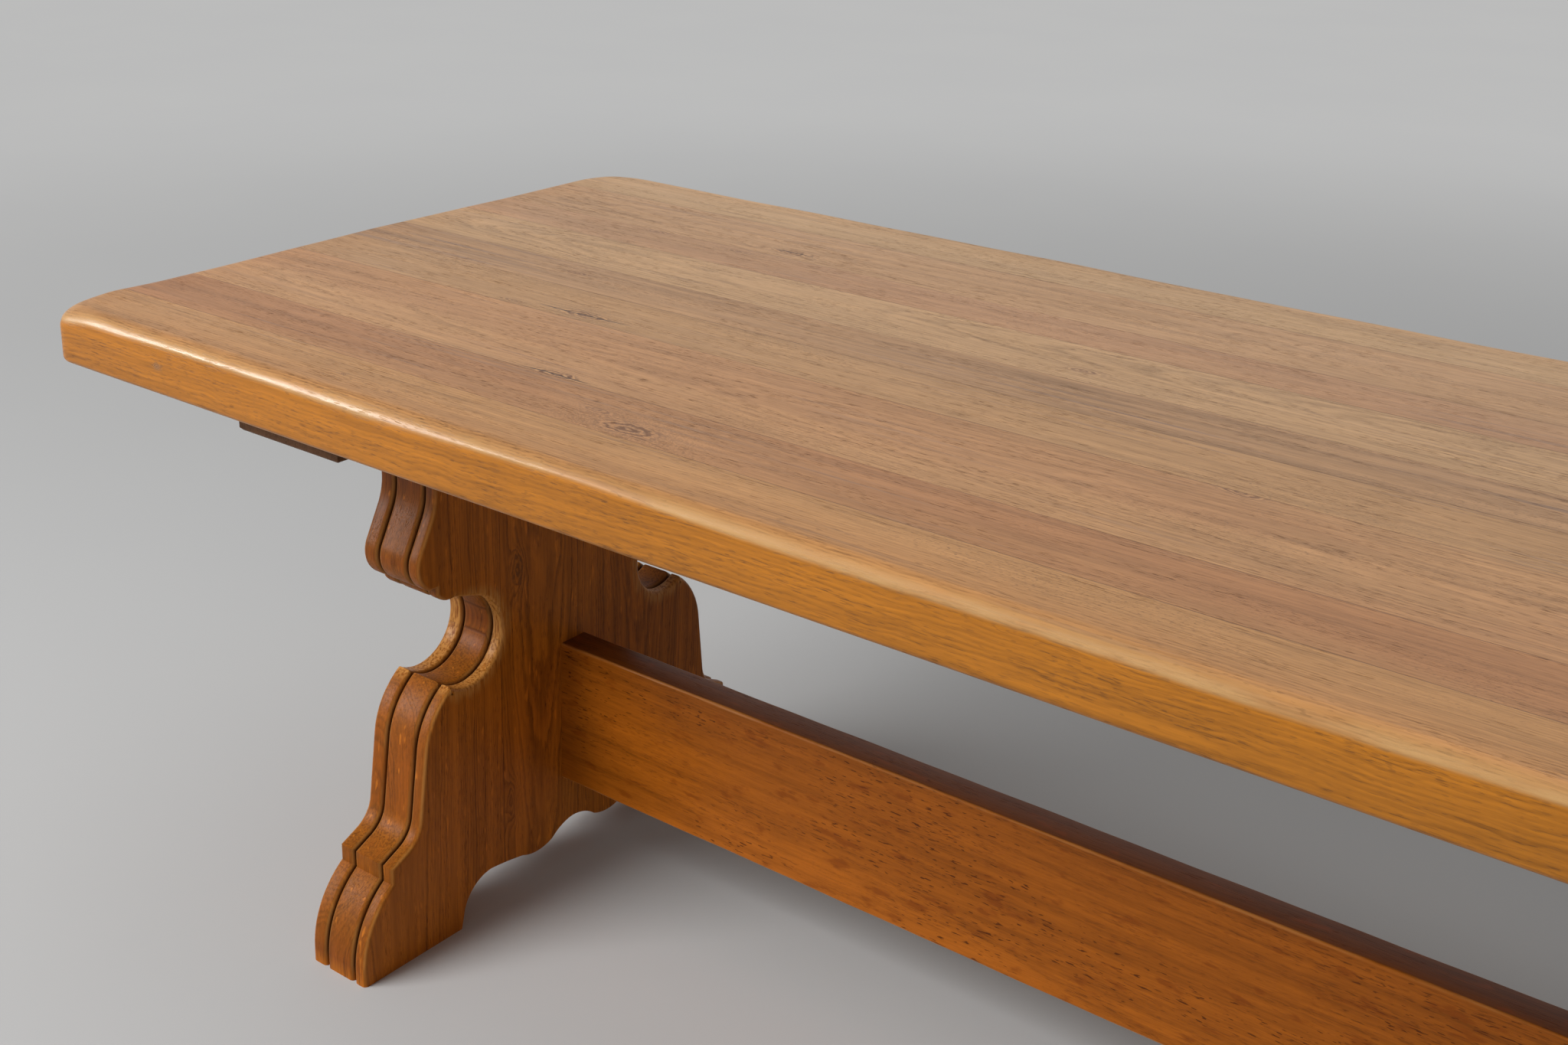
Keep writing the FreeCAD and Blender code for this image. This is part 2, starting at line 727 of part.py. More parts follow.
def make_bed_bolts():
    """Make the bed bolts with their washers, barrel nuts and plugs, two at each end."""
    under_head = "outer_face_distance - bolt_seat_depth + bolt_washer_thickness"
    over_head = f"{under_head} + bolt_head_height"
    bolts, washers, nuts, plugs = [], [], [], []
    for end, sign in ENDS.items():
        for number, row in enumerate(BOLT_ROWS, start=1):
            tag = f"{end}_{number}"
            shank = cylinder(f"bolt_shank_{tag}", "bolt_radius", "bolt_length",
                             **inwards("bolt_length", sign, under_head, row))
            head = hexagon(f"bolt_head_{tag}", "bolt_head_circumradius", "bolt_head_height",
                           **inwards("bolt_head_height", sign, over_head, row))
            bolts.append(fuse(f"bed_bolt_{tag}", [shank, head]))
            washers.append(ring(f"bed_bolt_washer_{tag}", "bolt_washer_radius",
                                "bolt_hole_radius", "bolt_washer_thickness",
                                **inwards("bolt_washer_thickness", sign, under_head, row)))
            nut_place = f"{sign} * ( stretcher_span / 2 - barrel_nut_setback )"
            nut = cylinder(f"nut_bar_{tag}", "barrel_nut_radius", "barrel_nut_length", "y",
                           x=nut_place, y="- barrel_nut_length / 2", z=row)
            thread = cylinder(f"nut_thread_{tag}", "bolt_radius + thread_clearance",
                              "2 * barrel_nut_radius", "x",
                              x=f"{nut_place} - barrel_nut_radius", z=row)
            nuts.append(cut(f"barrel_nut_{tag}", nut, thread))
            plugs.append(cylinder(f"plug_{tag}", "plug_radius - plug_clearance",
                                  "plug_thickness",
                                  **inwards("plug_thickness", sign, "outer_face_distance", row)))
    return [group("bed_bolts", bolts), group("bed_bolt_washers", washers),
            group("barrel_nuts", nuts), group("bolt_hole_plugs", plugs)]


def lag_screw(tag, length, x, y, seat, upwards):
    """Make a lag screw and its washer, with the washer's bearing face at the seat."""
    sign = "+" if upwards else "-"
    under_head = f"{seat} {'-' if upwards else '+'} screw_washer_thickness"
    place = {"x": x, "y": y}
    shank_foot = under_head if upwards else f"{under_head} - {length}"
    head_foot = f"{under_head} - screw_head_height" if upwards else under_head
    washer_foot = under_head if upwards else seat
    shank = cylinder(f"screw_shank_{tag}", "screw_radius", length, z=shank_foot, **place)
    head = hexagon(f"screw_head_{tag}", "screw_head_circumradius", "screw_head_height",
                   z=head_foot, **place)
    washer = ring(f"screw_washer_{tag}", "screw_washer_radius", "screw_hole_radius",
                  "screw_washer_thickness", z=washer_foot, **place)
    return fuse(f"screw_{tag}", [shank, head]), washer


def make_lag_screws():
    """Make the screws that hold the bearers on the trestles and the top on the bearers."""
    groups = {"bearer": [], "top": []}
    for end, sign in ENDS.items():
        centre = f"{sign} * trestle_centre"
        for number, row in enumerate(BEARER_SCREW_ROWS, start=1):
            groups["bearer"].append(lag_screw(f"bearer_{end}_{number}", "bearer_screw_length",
                                              centre, row, "bearer_screw_seat_height", False))
        for x, y in top_screw_places(centre):
            tag = f"top_{end}_{len(groups['top']) + 1}"
            groups["top"].append(lag_screw(tag, "top_screw_length", x, y, "trestle_height", True))
    parts = []
    for name, pieces in groups.items():
        parts.append(group(f"{name}_screws", [screw for screw, washer in pieces]))
        parts.append(group(f"{name}_screw_washers", [washer for screw, washer in pieces]))
    return parts


def top_screw_places(centre):
    """Give the places of the six screws that hold the top to one bearer."""
    return [(f"{centre} {way} top_screw_offset", row)
            for way in ("-", "+") for row in TOP_SCREW_ROWS]


def make_pilot_holes():
    """Make the tool that bores the underside of the top for its screws."""
    pilots = []
    for sign in ENDS.values():
        for x, y in top_screw_places(f"{sign} * trestle_centre"):
            name = f"top_pilot_{len(pilots) + 1}"
            pilots.append(cylinder(name, "pilot_radius",
                                   "top_screw_length - bearer_thickness + screw_end_gap",
                                   x=x, y=y, z="underside_height"))
    return group("top_pilots", pilots)


# ---------------------------------------------------------------- model

def check_document():
    """Stop if any object of the document failed."""
    for part in doc.Objects:
        if "Invalid" in part.State or "Error" in part.State:
            raise RuntimeError(f"{part.Name} failed: {part.State}")


def export(parts):
    """Check every sub-part's shape and write it to its own STEP file."""
    for part in parts:
        shape = part.Shape
        if shape.isNull() or not shape.isValid() or not shape.Solids:
            raise RuntimeError(f"{part.Label} has no valid solid")
    os.makedirs("parts", exist_ok=True)
    for part in parts:
        part.Shape.exportStep(f"parts/{part.Label}.step")
        count = len(part.Shape.Solids)
        print(f"{part.Label}: {count} solid(s), {part.Shape.Volume / 1000:.1f} cm3")


def main():
    """Build the table and write its pieces."""
    fill_sheet()
    parts = make_top(make_pilot_holes())
    parts += make_trestles()
    parts += [make_bearer(end, sign) for end, sign in ENDS.items()]
    parts.append(make_stretcher())
    parts += make_bed_bolts()
    parts += make_lag_screws()
    doc.recompute()
    check_document()
    export(parts)


main()
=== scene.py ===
import logging
import math
from collections.abc import Callable
from dataclasses import dataclass, replace
from enum import Enum

import bmesh
import bpy
import numpy as np
from mathutils import Matrix, Vector


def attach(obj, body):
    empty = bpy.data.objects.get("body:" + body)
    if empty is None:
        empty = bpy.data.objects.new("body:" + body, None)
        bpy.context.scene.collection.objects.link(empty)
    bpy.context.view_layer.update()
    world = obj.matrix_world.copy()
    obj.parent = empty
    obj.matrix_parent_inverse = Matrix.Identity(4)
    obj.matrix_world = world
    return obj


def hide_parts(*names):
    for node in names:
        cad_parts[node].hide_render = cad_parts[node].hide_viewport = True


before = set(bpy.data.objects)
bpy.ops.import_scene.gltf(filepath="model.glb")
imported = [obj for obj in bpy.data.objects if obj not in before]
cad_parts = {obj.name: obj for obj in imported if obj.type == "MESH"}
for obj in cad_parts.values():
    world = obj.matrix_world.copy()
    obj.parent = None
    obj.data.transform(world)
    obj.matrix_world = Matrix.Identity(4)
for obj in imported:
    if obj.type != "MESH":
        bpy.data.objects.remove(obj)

LOG = logging.getLogger("trestle_table")
Colour = tuple[float, float, float]
BODY = "root"


# ---------------------------------------------------------------- shader maths

def operator(kind: str, turned: bool = False) -> Callable:
    """Make an operator that runs a Math node.

    Args:
        kind: the node's operation.
        turned: whether the other term comes first.

    Returns:
        The operator.
    """
    def run(this: "Value", other: "Value | float") -> "Value":
        """Run the node."""
        return this.shade.math(kind, *((other, this) if turned else (this, other)))
    return run


class Value:
    """A number that varies over a surface, used in expressions like a Python number."""

    __add__ = __radd__ = operator("ADD")
    __sub__ = operator("SUBTRACT")
    __rsub__ = operator("SUBTRACT", turned=True)
    __mul__ = __rmul__ = operator("MULTIPLY")
    __truediv__ = operator("DIVIDE")
    __pow__ = operator("POWER")

    def __init__(self, shade: "Shade", socket: bpy.types.NodeSocket) -> None:
        """Wrap an output socket.

        Args:
            shade: the material that the socket belongs to.
            socket: the output that gives the number.
        """
        self.shade = shade
        self.socket = socket

    def smooth(self, low: float, high: float) -> "Value":
        """Rise smoothly from 0 to 1.

        Args:
            low: the value that gives 0.
            high: the value that gives 1.

        Returns:
            The smooth step.
        """
        ends = {"From Min": low, "From Max": high, "Value": self}
        made = self.shade.node("ShaderNodeMapRange", ends, interpolation_type="SMOOTHSTEP")
        return Value(self.shade, made.outputs["Result"])

    def size(self) -> "Value":
        """Drop the sign."""
        return self.shade.math("ABSOLUTE", self)


class Shade:
    """A material, or the world's light, under construction."""

    def __init__(self, owner: bpy.types.Material | bpy.types.World) -> None:
        """Empty the owner's node tree.

        Args:
            owner: the new material or world.
        """
        owner.use_nodes = True
        self.owner = owner
        self.tree = owner.node_tree
        self.tree.nodes.clear()

    def node(self, kind: str, sockets: dict | None = None, **settings: object) -> bpy.types.Node:
        """Add one node.

        Args:
            kind: the node's type.
            sockets: values or links for its inputs, by name or number.
            settings: its properties, set first.

        Returns:
            The node.
        """
        made = self.tree.nodes.new(kind)
        for name, value in settings.items():
            setattr(made, name, value)
        for key, value in (sockets or {}).items():
            if isinstance(value, Value):
                value = value.socket
            if isinstance(value, bpy.types.NodeSocket):
                self.tree.links.new(value, made.inputs[key])
            else:
                made.inputs[key].default_value = value
        return made

    def math(self, operation: str, *terms: Value | float) -> Value:
        """Run one Math node.

        Args:
            operation: the node's operation.
            terms: its inputs in order.

        Returns:
            The result.
        """
        made = self.node("ShaderNodeMath", dict(enumerate(terms)), operation=operation)
        return Value(self, made.outputs[0])

    def position(self) -> dict[str, Value]:
        """Split the place on the table into numbers.

        Returns:
            The coordinates in metres under the names X, Y and Z.
        """
        place = self.node("ShaderNodeTexCoord").outputs["Object"]
        split = self.node("ShaderNodeSeparateXYZ", {0: place})
        return {axis: Value(self, split.outputs[axis]) for axis in "XYZ"}

    def attribute(self, name: str) -> Value:
        """Give a number stored on the mesh's points."""
        made = self.node("ShaderNodeAttribute", attribute_name=name)
        return Value(self, made.outputs["Fac"])

    def noise(self, x: Value | float, y: Value | float, z: Value | float,
              detail: float = 2.0, roughness: float = 0.5) -> Value:
        """Give a cloudy number from 0 to 1, about 0.5 on average.

        Args:
            x: first coordinate, in cloud sizes.
            y: second coordinate.
            z: third coordinate.
            detail: the number of finer layers.
            roughness: the strength of the finer layers.

        Returns:
            The number.
        """
        place = self.node("ShaderNodeCombineXYZ", {0: x, 1: y, 2: z}).outputs[0]
        made = self.node("ShaderNodeTexNoise", {"Vector": place, "Scale": 1.0, "Detail": detail,
                                                "Roughness": roughness}, noise_dimensions="3D")
        return Value(self, made.outputs["Fac"])

    def blend(self, factor: Value | float, first: object, second: object,
              way: str = "MIX") -> bpy.types.NodeSocket:
        """Mix two colours.

        Args:
            factor: how much of the second colour to take.
            first: a colour or a colour socket.
            second: a colour or a colour socket.
            way: the blend type.

        Returns:
            The mixed colour's socket.
        """
        made = self.node("ShaderNodeMix", {0: factor, 6: opaque(first), 7: opaque(second)},
                         data_type="RGBA", blend_type=way)
        return made.outputs[2]

    def finish(self, sockets: dict, height: Value, depth: float,
               strength: float) -> bpy.types.Material:
        """Close the material with a Principled shader.

        Args:
            sockets: values or links of the shader's inputs.
            height: relief from 0 to 1 for the Bump node.
            depth: the relief's full depth in metres.
            strength: the Bump node's strength.

        Returns:
            The material.
        """
        bump = self.node("ShaderNodeBump",
                         {"Height": height, "Distance": depth, "Strength": strength})
        shader = self.node("ShaderNodeBsdfPrincipled", {**sockets, "Normal": bump.outputs[0]})
        self.node("ShaderNodeOutputMaterial", {"Surface": shader.outputs[0]})
        return self.owner


def opaque(colour: object) -> object:
    """Add a full alpha to a plain colour; leave a socket as it is."""
    return (*colour, 1.0) if isinstance(colour, tuple) else colour


def tinted(colour: Colour, share: float, warmth: float = 0.0) -> Colour:
    """Lighten or darken a colour; warmth takes away green and twice as much blue."""
    red, green, blue = colour
    return (red * share, green * share * (1 - warmth), blue * share * (1 - 2 * warmth))


def pale_and_dark(colour: Colour) -> tuple[Colour, Colour]:
    """Give the palest and the darkest wood of a tone."""
    return tinted(colour, 1.26), tinted(colour, 0.54, 0.03)


# ---------------------------------------------------------------- oak

RING_WIDTH = 0.0030
HEART_WANDER = 0.024
KNOT_CORE: Colour = (0.130, 0.044, 0.010)
CHECK_BLACK: Colour = (0.020, 0.010, 0.006)
# Painted shade and grime in the trestles' grooves.
GROOVE_GRIME_AND_SHADE: Colour = (0.020, 0.007, 0.003)
MINERAL_BROWN: Colour = (0.215, 0.130, 0.088)
DRIFT_TINT: Colour = (0.94, 0.87, 0.87)


class Grain(Enum):
    """The axis the fibres run along, then the board's width and its thickness."""

    LENGTHWISE = "XYZ"
    CROSSWISE = "YXZ"
    UPRIGHT = "ZYX"
    UPRIGHT_PLANK = "XZY"


class Layer(Enum):
    """The clouds that make up the oak.

    Each row holds a number that tells the layers apart, the clouds per metre along and across
    the grain, the number of finer layers and their strength. A row that goes on has two more
    values, between which the cloud rises smoothly from 0 to 1.
    """

    WANDER = (1, 1.1, 5.0, 2.0, 0.5)
    CLIMB = (2, 0.8, 4.0, 2.0, 0.5)
    RUFFLE = (3, 6.0, 24.0, 4.0, 0.6)
    CURL = (4, 22.0, 16.0, 1.0, 0.5)
    TONE = (5, 2.4, 11.0, 3.0, 0.55)
    FIBRE = (6, 24.0, 420.0, 2.0, 0.6)
    STREAK = (7, 1.8, 85.0, 4.0, 0.62, 0.30, 0.70)
    DENSE = (8, 7.0, 60.0, 3.0, 0.6)
    DASH = (9, 85.0, 1000.0, 1.0, 0.5, 0.55, 0.64)
    PATCH = (10, 3.5, 13.0, 2.0, 0.5)
    VEIN = (11, 2.6, 210.0, 3.0, 0.5, 0.56, 0.66)
    FLAME = (12, 30.0, 150.0, 1.0, 0.5, 0.66, 0.76)
    SEAM = (13, 9.0, 3.0, 3.0, 0.5)
    MOTTLE = (14, 9.0, 34.0, 4.0, 0.65)
    FLECK = (15, 85.0, 430.0, 1.0, 0.5, 0.64, 0.70)
    BLUSH = (16, 26.0, 70.0, 3.0, 0.5, 0.58, 0.70)
    DRIFT = (17, 1.6, 8.0, 3.0, 0.5, 0.42, 0.60)
    RUB = (18, 30.0, 330.0, 3.0, 0.6, 0.32, 0.60)
    SPECK = (19, 60.0, 380.0, 2.0, 0.6, 0.48, 0.60)
    SWIRL = (20, 110.0, 240.0, 2.0, 0.5)
    CRACK = (21, 16.0, 12.0, 3.0, 0.5)
    BEND = (22, 45.0, 90.0, 2.0, 0.5)


@dataclass(frozen=True)
class Knot:
    """A knot, which pushes the growth rings aside.

    Dark is the strength of its brown core and ripples that of the curly wood round it. A knot
    with a level is a small one at that place through the board; others go right through.
    """

    along: float
    across: float
    length: float = 0.022
    width: float = 0.008
    push: float = 0.009
    dark: float = 0.6
    check: float = 0.0
    ripples: float = 0.0
    level: float | None = None


@dataclass(frozen=True)
class Look:
    """How strongly a board shows each feature of oak, from 0 to about 1."""

    rings: float = 0.14
    streaks: float = 0.29
    fibre: float = 0.85
    clouds: float = 0.38
    mottle: float = 0.36
    pores: float = 0.65
    ticks: float = 0.5
    flecks: float = 0.0
    mineral: float = 0.30
    flames: float = 0.0
    blush: float = 0.0
    drift: float = 0.0


@dataclass(frozen=True)
class Oak:
    """One board's wood: how it was cut from the tree, its colours and its finish.

    Heart is where the tree's middle line passes the table's middle, across and through the
    board, and lean is how it slants. Edges are the board's two glued sides. Side is the colour
    of its worked edge, and on the stretcher the painted shade of its upper face and upper sides;
    worn is that of its rubbed arrises, with a painted highlight along them; ash that of the wood
    round its knots, rim tints the wood near the top's ends, and dry is the open end grain of a
    grooved board, which has the trestles' moulding.
    """

    name: str
    grain: Grain
    tone: Colour
    look: Look = Look()
    heart: tuple[float, float] = (0.0, -0.12)
    lean: tuple[float, float] = (0.012, 0.02)
    curl: float = 0.0
    knots: tuple[Knot, ...] = ()
    seed: float = 0.0
    rough: float = 0.34
    gloss: float = 0.4
    side: Colour | None = None
    wear_and_highlight: Colour | None = None
    rim: Colour | None = None
    ash: Colour = (0.27, 0.142, 0.070)
    dry: Colour = (0.40, 0.148, 0.012)
    grooved: bool = False
    edges: tuple[float, float] | None = None

    def turned(self, name: str, turn: int, middle: float) -> "Oak":
        """Carry the wood to one end of the table.

        Args:
            name: the board's new name.
            turn: -1 for a board that is turned about at that end, 1 for one that is not.
            middle: the trestle's middle, which the heart is counted from.

        Returns:
            The wood of that board.
        """
        edges = self.edges and tuple(sorted(turn * edge for edge in self.edges))
        return replace(self, name=name, edges=edges,
                       heart=(turn * self.heart[0], middle + turn * self.heart[1]),
                       lean=(turn * self.lean[0], turn * self.lean[1]),
                       knots=tuple(replace(knot, across=turn * knot.across)
                                   for knot in self.knots),
                       seed=self.seed + 40 * (1 - turn))

    def material(self) -> bpy.types.Material:
        """Build the board's material."""
        return OakPainter(self).build()


class OakPainter:
    """Builds the node tree of one board's oak."""

    colour: bpy.types.NodeSocket
    rough: Value
    height: Value

    def __init__(self, wood: Oak) -> None:
        """Start the material and split its place into the board's own directions.

        Args:
            wood: the board's wood.
        """
        self.wood = wood
        self.shade = Shade(bpy.data.materials.new(wood.name))
        self.place = self.shade.position()
        self.along, self.across, self.deep = (self.place[axis] for axis in wood.grain.value)
        self.knots: dict[str, Value] = {}

    def cloud(self, layer: Layer) -> Value:
        """Give a cloudy number that is stretched along the grain.

        Args:
            layer: the cloud's row.

        Returns:
            The number, about 0.5 on average where the row doesn't steepen it.
        """
        number, along, across, detail, roughness, *rise = layer.value
        shift = self.wood.seed + 7.31 * number
        made = self.shade.noise(self.along * along + shift, self.across * across,
                                self.deep * across + shift, detail, roughness)
        return made.smooth(*rise) if rise else made

    def set_knots(self) -> None:
        """Add up what the knots do: the push on the rings, halo, core, swirl, check and waves.

        A knot's core is a few broken dark shells: the sine of the distance from its middle,
        counted in knot sizes and ruffled by a cloud, where it is high. Its swirl is the pale
        curly wood where that sine is low.
        """
        swirl = self.cloud(Layer.SWIRL)
        drift = (self.cloud(Layer.CRACK) - 0.5) * 0.012
        bend = self.cloud(Layer.BEND)
        for knot in self.wood.knots:
            along = self.along - knot.along
            across = self.across - knot.across
            far = (along / knot.length) ** 2 + (across / knot.width) ** 2
            if knot.level is not None:
                far = far + ((self.deep - knot.level) / knot.width) ** 2
            far = far * (bend * 1.6 + 0.2)
            hill = self.shade.math("EXPONENT", far * -1.0)
            shell = self.shade.math("SINE", far ** 0.5 * 15.0 + swirl * 9.0)
            shells = hill.smooth(0.15, 0.75) * (shell + swirl * 1.6).smooth(0.9, 1.5)
            gaps = hill.smooth(0.08, 0.5) * (swirl * 1.6 - shell).smooth(1.1, 1.7)
            self._gather("push", hill * knot.push, "ADD")
            self._gather("halo", hill * knot.dark)
            self._gather("core", shells * knot.dark)
            self._gather("swirl", gaps * knot.dark)
            if knot.ripples:
                wave = self.shade.math("SINE", (along + across * 0.4) * 1150.0 + swirl * 24.0)
                wide = self.shade.math("EXPONENT", far * -0.16)
                self._gather("waves", wave * wide * knot.ripples, "ADD")
            if knot.check:
                line = 1.0 - (across + drift).size().smooth(0.0003, 0.0014)
                reach = 1.0 - along.size().smooth(0.5 * knot.check, knot.check)
                self._gather("check", line * reach)

    def _gather(self, name: str, more: Value, way: str = "MAXIMUM") -> None:
        """Join what one more knot does to the total of that name."""
        total = self.knots.get(name)
        self.knots[name] = more if total is None else self.shade.math(way, total, more)

    def rings(self) -> Value:
        """Give the growth rings.

        They are cylinders round the tree's heart line, which leans and wanders, so a board's
        surface cuts them into lines, arches or islands. Each ring starts with a porous dark band
        that fades into dense pale wood, and some rings are darker than others.

        Returns:
            Up to 1 in the porous band, 0 in the dense wood.
        """
        wood, shade = self.wood, self.shade
        wander = (self.cloud(Layer.WANDER) - 0.5) * HEART_WANDER
        aside = self.across - self.along * wood.lean[0] - wood.heart[0] + wander
        climb = (self.cloud(Layer.CLIMB) - 0.5) * HEART_WANDER
        below = self.deep - self.along * wood.lean[1] - wood.heart[1] + climb
        reach = (aside ** 2 + below ** 2) ** 0.5 + (self.cloud(Layer.RUFFLE) - 0.5) * 0.012
        if wood.curl:
            reach = reach + (self.cloud(Layer.CURL) - 0.5) * wood.curl
        if self.knots:
            reach = reach + self.knots["push"]
        count = reach / RING_WIDTH + shade.noise(reach * 70.0, wood.seed, 0.0) * 2.0
        turn = shade.math("FRACT", count)
        weight = shade.noise((count - turn) * 0.73, wood.seed, 0.5, 1.0).smooth(0.38, 0.62)
        return turn.smooth(0.0, 0.22) * (1.0 - turn.smooth(0.25, 0.9)) * (weight * 0.8 + 0.2)

    def build(self) -> bpy.types.Material:
        """Lay the features over each other, from the wood's tone to the painted shade and grime in
        its grooves.

        The depth of the stain is a base plus each cloud's distance from its average, times the
        look's share of it.

        Returns:
            The material.
        """
        wood, look, shade = self.wood, self.wood.look, self.shade
        self.set_knots()
        early = self.rings()
        tone, mottle, fibre, streak, dense, dash = map(self.cloud, (
            Layer.TONE, Layer.MOTTLE, Layer.FIBRE, Layer.STREAK, Layer.DENSE, Layer.DASH))
        pore = dash * (early * 0.6 + dense.smooth(0.42, 0.60) * 0.7)
        depth = (0.42 + (early - 0.25) * look.rings * (dense * 1.6 + 0.2)
                 + (streak - 0.5) * look.streaks + (fibre - 0.5) * look.fibre
                 + (tone - 0.5) * look.clouds + (mottle - 0.5) * look.mottle)
        if self.knots:
            depth = depth + self.knots["halo"] * (early * 0.6 + 0.12)
        if "waves" in self.knots:
            depth = depth + self.knots["waves"]
        depth = shade.math("MINIMUM", shade.math("MAXIMUM", depth, 0.0), 1.0)
        self.colour = self._wood_colour(depth, tone)
        self.rough = wood.rough + pore * 0.2 + (tone - 0.5) * 0.14 + (fibre - 0.5) * 0.10
        self.height = fibre * 0.2 + (1.0 - pore) * 0.6 + (1.0 - early) * 0.12
        pit = tinted(wood.tone, 0.24, 0.2)
        if look.drift:
            self._lay(self.cloud(Layer.DRIFT), DRIFT_TINT, look.drift, way="MULTIPLY")
        self._lay_figure(pit)
        self._lay(pore, pit, look.pores)
        if wood.grooved:
            end = shade.attribute("end") * (mottle * 1.4)
            self._lay(end, wood.dry, 0.5, rough=0.12)
            self._lay(self.cloud(Layer.SPECK) * end, pit, 0.8)
        if self.knots:
            self._lay(self.knots["halo"], wood.ash, 0.75)
            self._lay(self.knots["core"], KNOT_CORE, dip=0.4)
            self._lay(self.knots["swirl"], tinted(wood.tone, 1.5), 0.5)
        if "check" in self.knots:
            self._lay(self.knots["check"], CHECK_BLACK, 0.9, dip=0.8)
        if wood.edges:
            self._lay(self._seam(), pit, 0.65, dip=0.7)
        # Pale wear on the arrises and crests, with a painted highlight along them.
        if wood.wear_and_highlight:
            wear_and_highlight = shade.attribute("wear_and_highlight") * (mottle.smooth(0.30, 0.62) * 0.7 + 0.15)
            if wood.grooved:
                wear_and_highlight = shade.math("MAXIMUM", wear_and_highlight * 0.75, self._rub(mottle))
            self._lay(wear_and_highlight, wood.wear_and_highlight, rough=-0.10)
        if wood.rim:
            self.rough = self.rough + shade.attribute("bare") * 0.4
        # Painted shade and grime in the grooves, darkest in the slits.
        if wood.grooved:
            groove_grime_and_shade = shade.attribute("groove_grime_and_shade") * (mottle.smooth(0.30, 0.60) * 0.35 + 0.6)
            self._lay(groove_grime_and_shade, GROOVE_GRIME_AND_SHADE, rough=0.3)
        return shade.finish({"Base Color": self.colour, "Roughness": self.rough, "IOR": 1.45,
                             "Specular IOR Level": wood.gloss}, self.height, 0.0004, 0.35)

    def _lay(self, feature: Value, colour: Colour, share: float = 1.0, rough: float = 0.0,
             dip: float = 0.0, way: str = "MIX") -> None:
        """Lay a feature over the wood.

        Args:
            feature: where it is, from 0 to 1.
            colour: its colour.
            share: how much of that colour it shows.
            rough: what it adds to the roughness.
            dip: how far it sinks into the relief.
            way: the blend type of its colour.
        """
        self.colour = self.shade.blend(feature * share, self.colour, colour, way)
        if rough:
            self.rough = self.rough + feature * rough
        if dip:
            self.height = self.height - feature * dip

    def _rub(self, mottle: Value) -> Value:
        """Give the pale wood that hands have rubbed round the trestles' cut-outs.

        Args:
            mottle: a cloudy number that makes its rim uneven.

        Returns:
            Up to 1 at the cut-out, 0 on the middle band, on the lower lip and from about 2 cm
            off the cut-out.
        """
        aside = self.across.size() - Trestle.cutout[0]
        above = self.along - Trestle.cutout[1]
        off = (aside ** 2 + above ** 2) ** 0.5 - Trestle.cutout_radius + (mottle - 0.5) * 0.03
        outer = (self.deep.size() - Trestle.centre).size().smooth(0.020, 0.026)
        inner = 1.0 - aside.smooth(0.030, 0.050)
        return (1.0 - off.smooth(0.0, 0.020)) * outer * inner * self.cloud(Layer.RUB)

    def _wood_colour(self, depth: Value, tone: Value) -> bpy.types.NodeSocket:
        """Colour the wood by how deep its stain is, with the worked edge in its own tone, which on
        the stretcher is painted shade.

        Args:
            depth: 0 for the palest wood, 1 for the darkest.
            tone: a slow cloudy number.

        Returns:
            The colour.
        """
        wood, shade = self.wood, self.shade
        colour = shade.blend(depth, *pale_and_dark(wood.tone))
        if wood.rim:
            ends = 1.2 - self.place["X"].size()
            sides = 0.45 - self.place["Y"].size()
            near = shade.math("MINIMUM", ends, sides * 1.8) + (tone - 0.5) * 0.10
            colour = shade.blend((1.0 - near.smooth(0.0, 0.12)) * 0.7, colour, wood.rim,
                                 "MULTIPLY")
        if wood.side:
            edge = shade.blend(depth, *pale_and_dark(wood.side))
            colour = shade.blend(shade.attribute("flank"), colour, edge)
        return colour

    def _lay_figure(self, pit: Colour) -> None:
        """Lay mineral streaks, ticks, flecks, red patches and pale ray flames over the wood.

        Args:
            pit: the colour of its pores.
        """
        wood, look, shade = self.wood, self.wood.look, self.shade
        patch = self.cloud(Layer.PATCH)
        face = 1.0 - shade.attribute("flank") if wood.side else 1.0
        if look.mineral:
            vein = self.cloud(Layer.VEIN) * patch.smooth(0.46, 0.62)
            self._lay(vein * face, MINERAL_BROWN, look.mineral)
        if look.ticks:
            slant = self.along + self.across * 0.8
            level = self.across - self.along * 0.22
            tick = shade.noise(slant * 190.0, level * 800.0, self.deep * 800.0, 1.0)
            tick = tick.smooth(0.60, 0.68) * (1.0 - patch.smooth(0.36, 0.47))
            self._lay(tick * face, pit, look.ticks)
        if look.flecks:
            self._lay(self.cloud(Layer.FLECK) * patch.smooth(0.40, 0.56), pit, look.flecks)
        if look.blush:
            self._lay(self.cloud(Layer.BLUSH), tinted(wood.tone, 0.55, 0.22), look.blush)
        if look.flames:
            self._lay(self.cloud(Layer.FLAME), tinted(wood.tone, 2.0), look.flames)

    def _seam(self) -> Value:
        """Give the dark glue lines.

        Returns:
            1 on a line, whose width wanders between a hair and a millimetre, else 0.
        """
        wood = self.wood
        near = self.shade.math("MINIMUM", self.across - wood.edges[0], wood.edges[1] - self.across)
        width = self.cloud(Layer.SEAM) * 0.0026 - 0.0004
        return 1.0 - (near / width).smooth(0.2, 1.0)


# ---------------------------------------------------------------- meshes

SAME_POINT = 2e-7
SHARP = math.radians(38)
# An axis number with the lowest and highest coordinate to keep, None where that end stays whole.
Span = tuple[int, float | None, float | None]


def link(name: str, data: bpy.types.ID) -> bpy.types.Object:
    """Put a thing into the scene.

    Args:
        name: the object's name.
        data: its mesh, lamp or camera.

    Returns:
        The object, at the origin.
    """
    made = bpy.data.objects.new(name, data)
    bpy.context.scene.collection.objects.link(made)
    return made


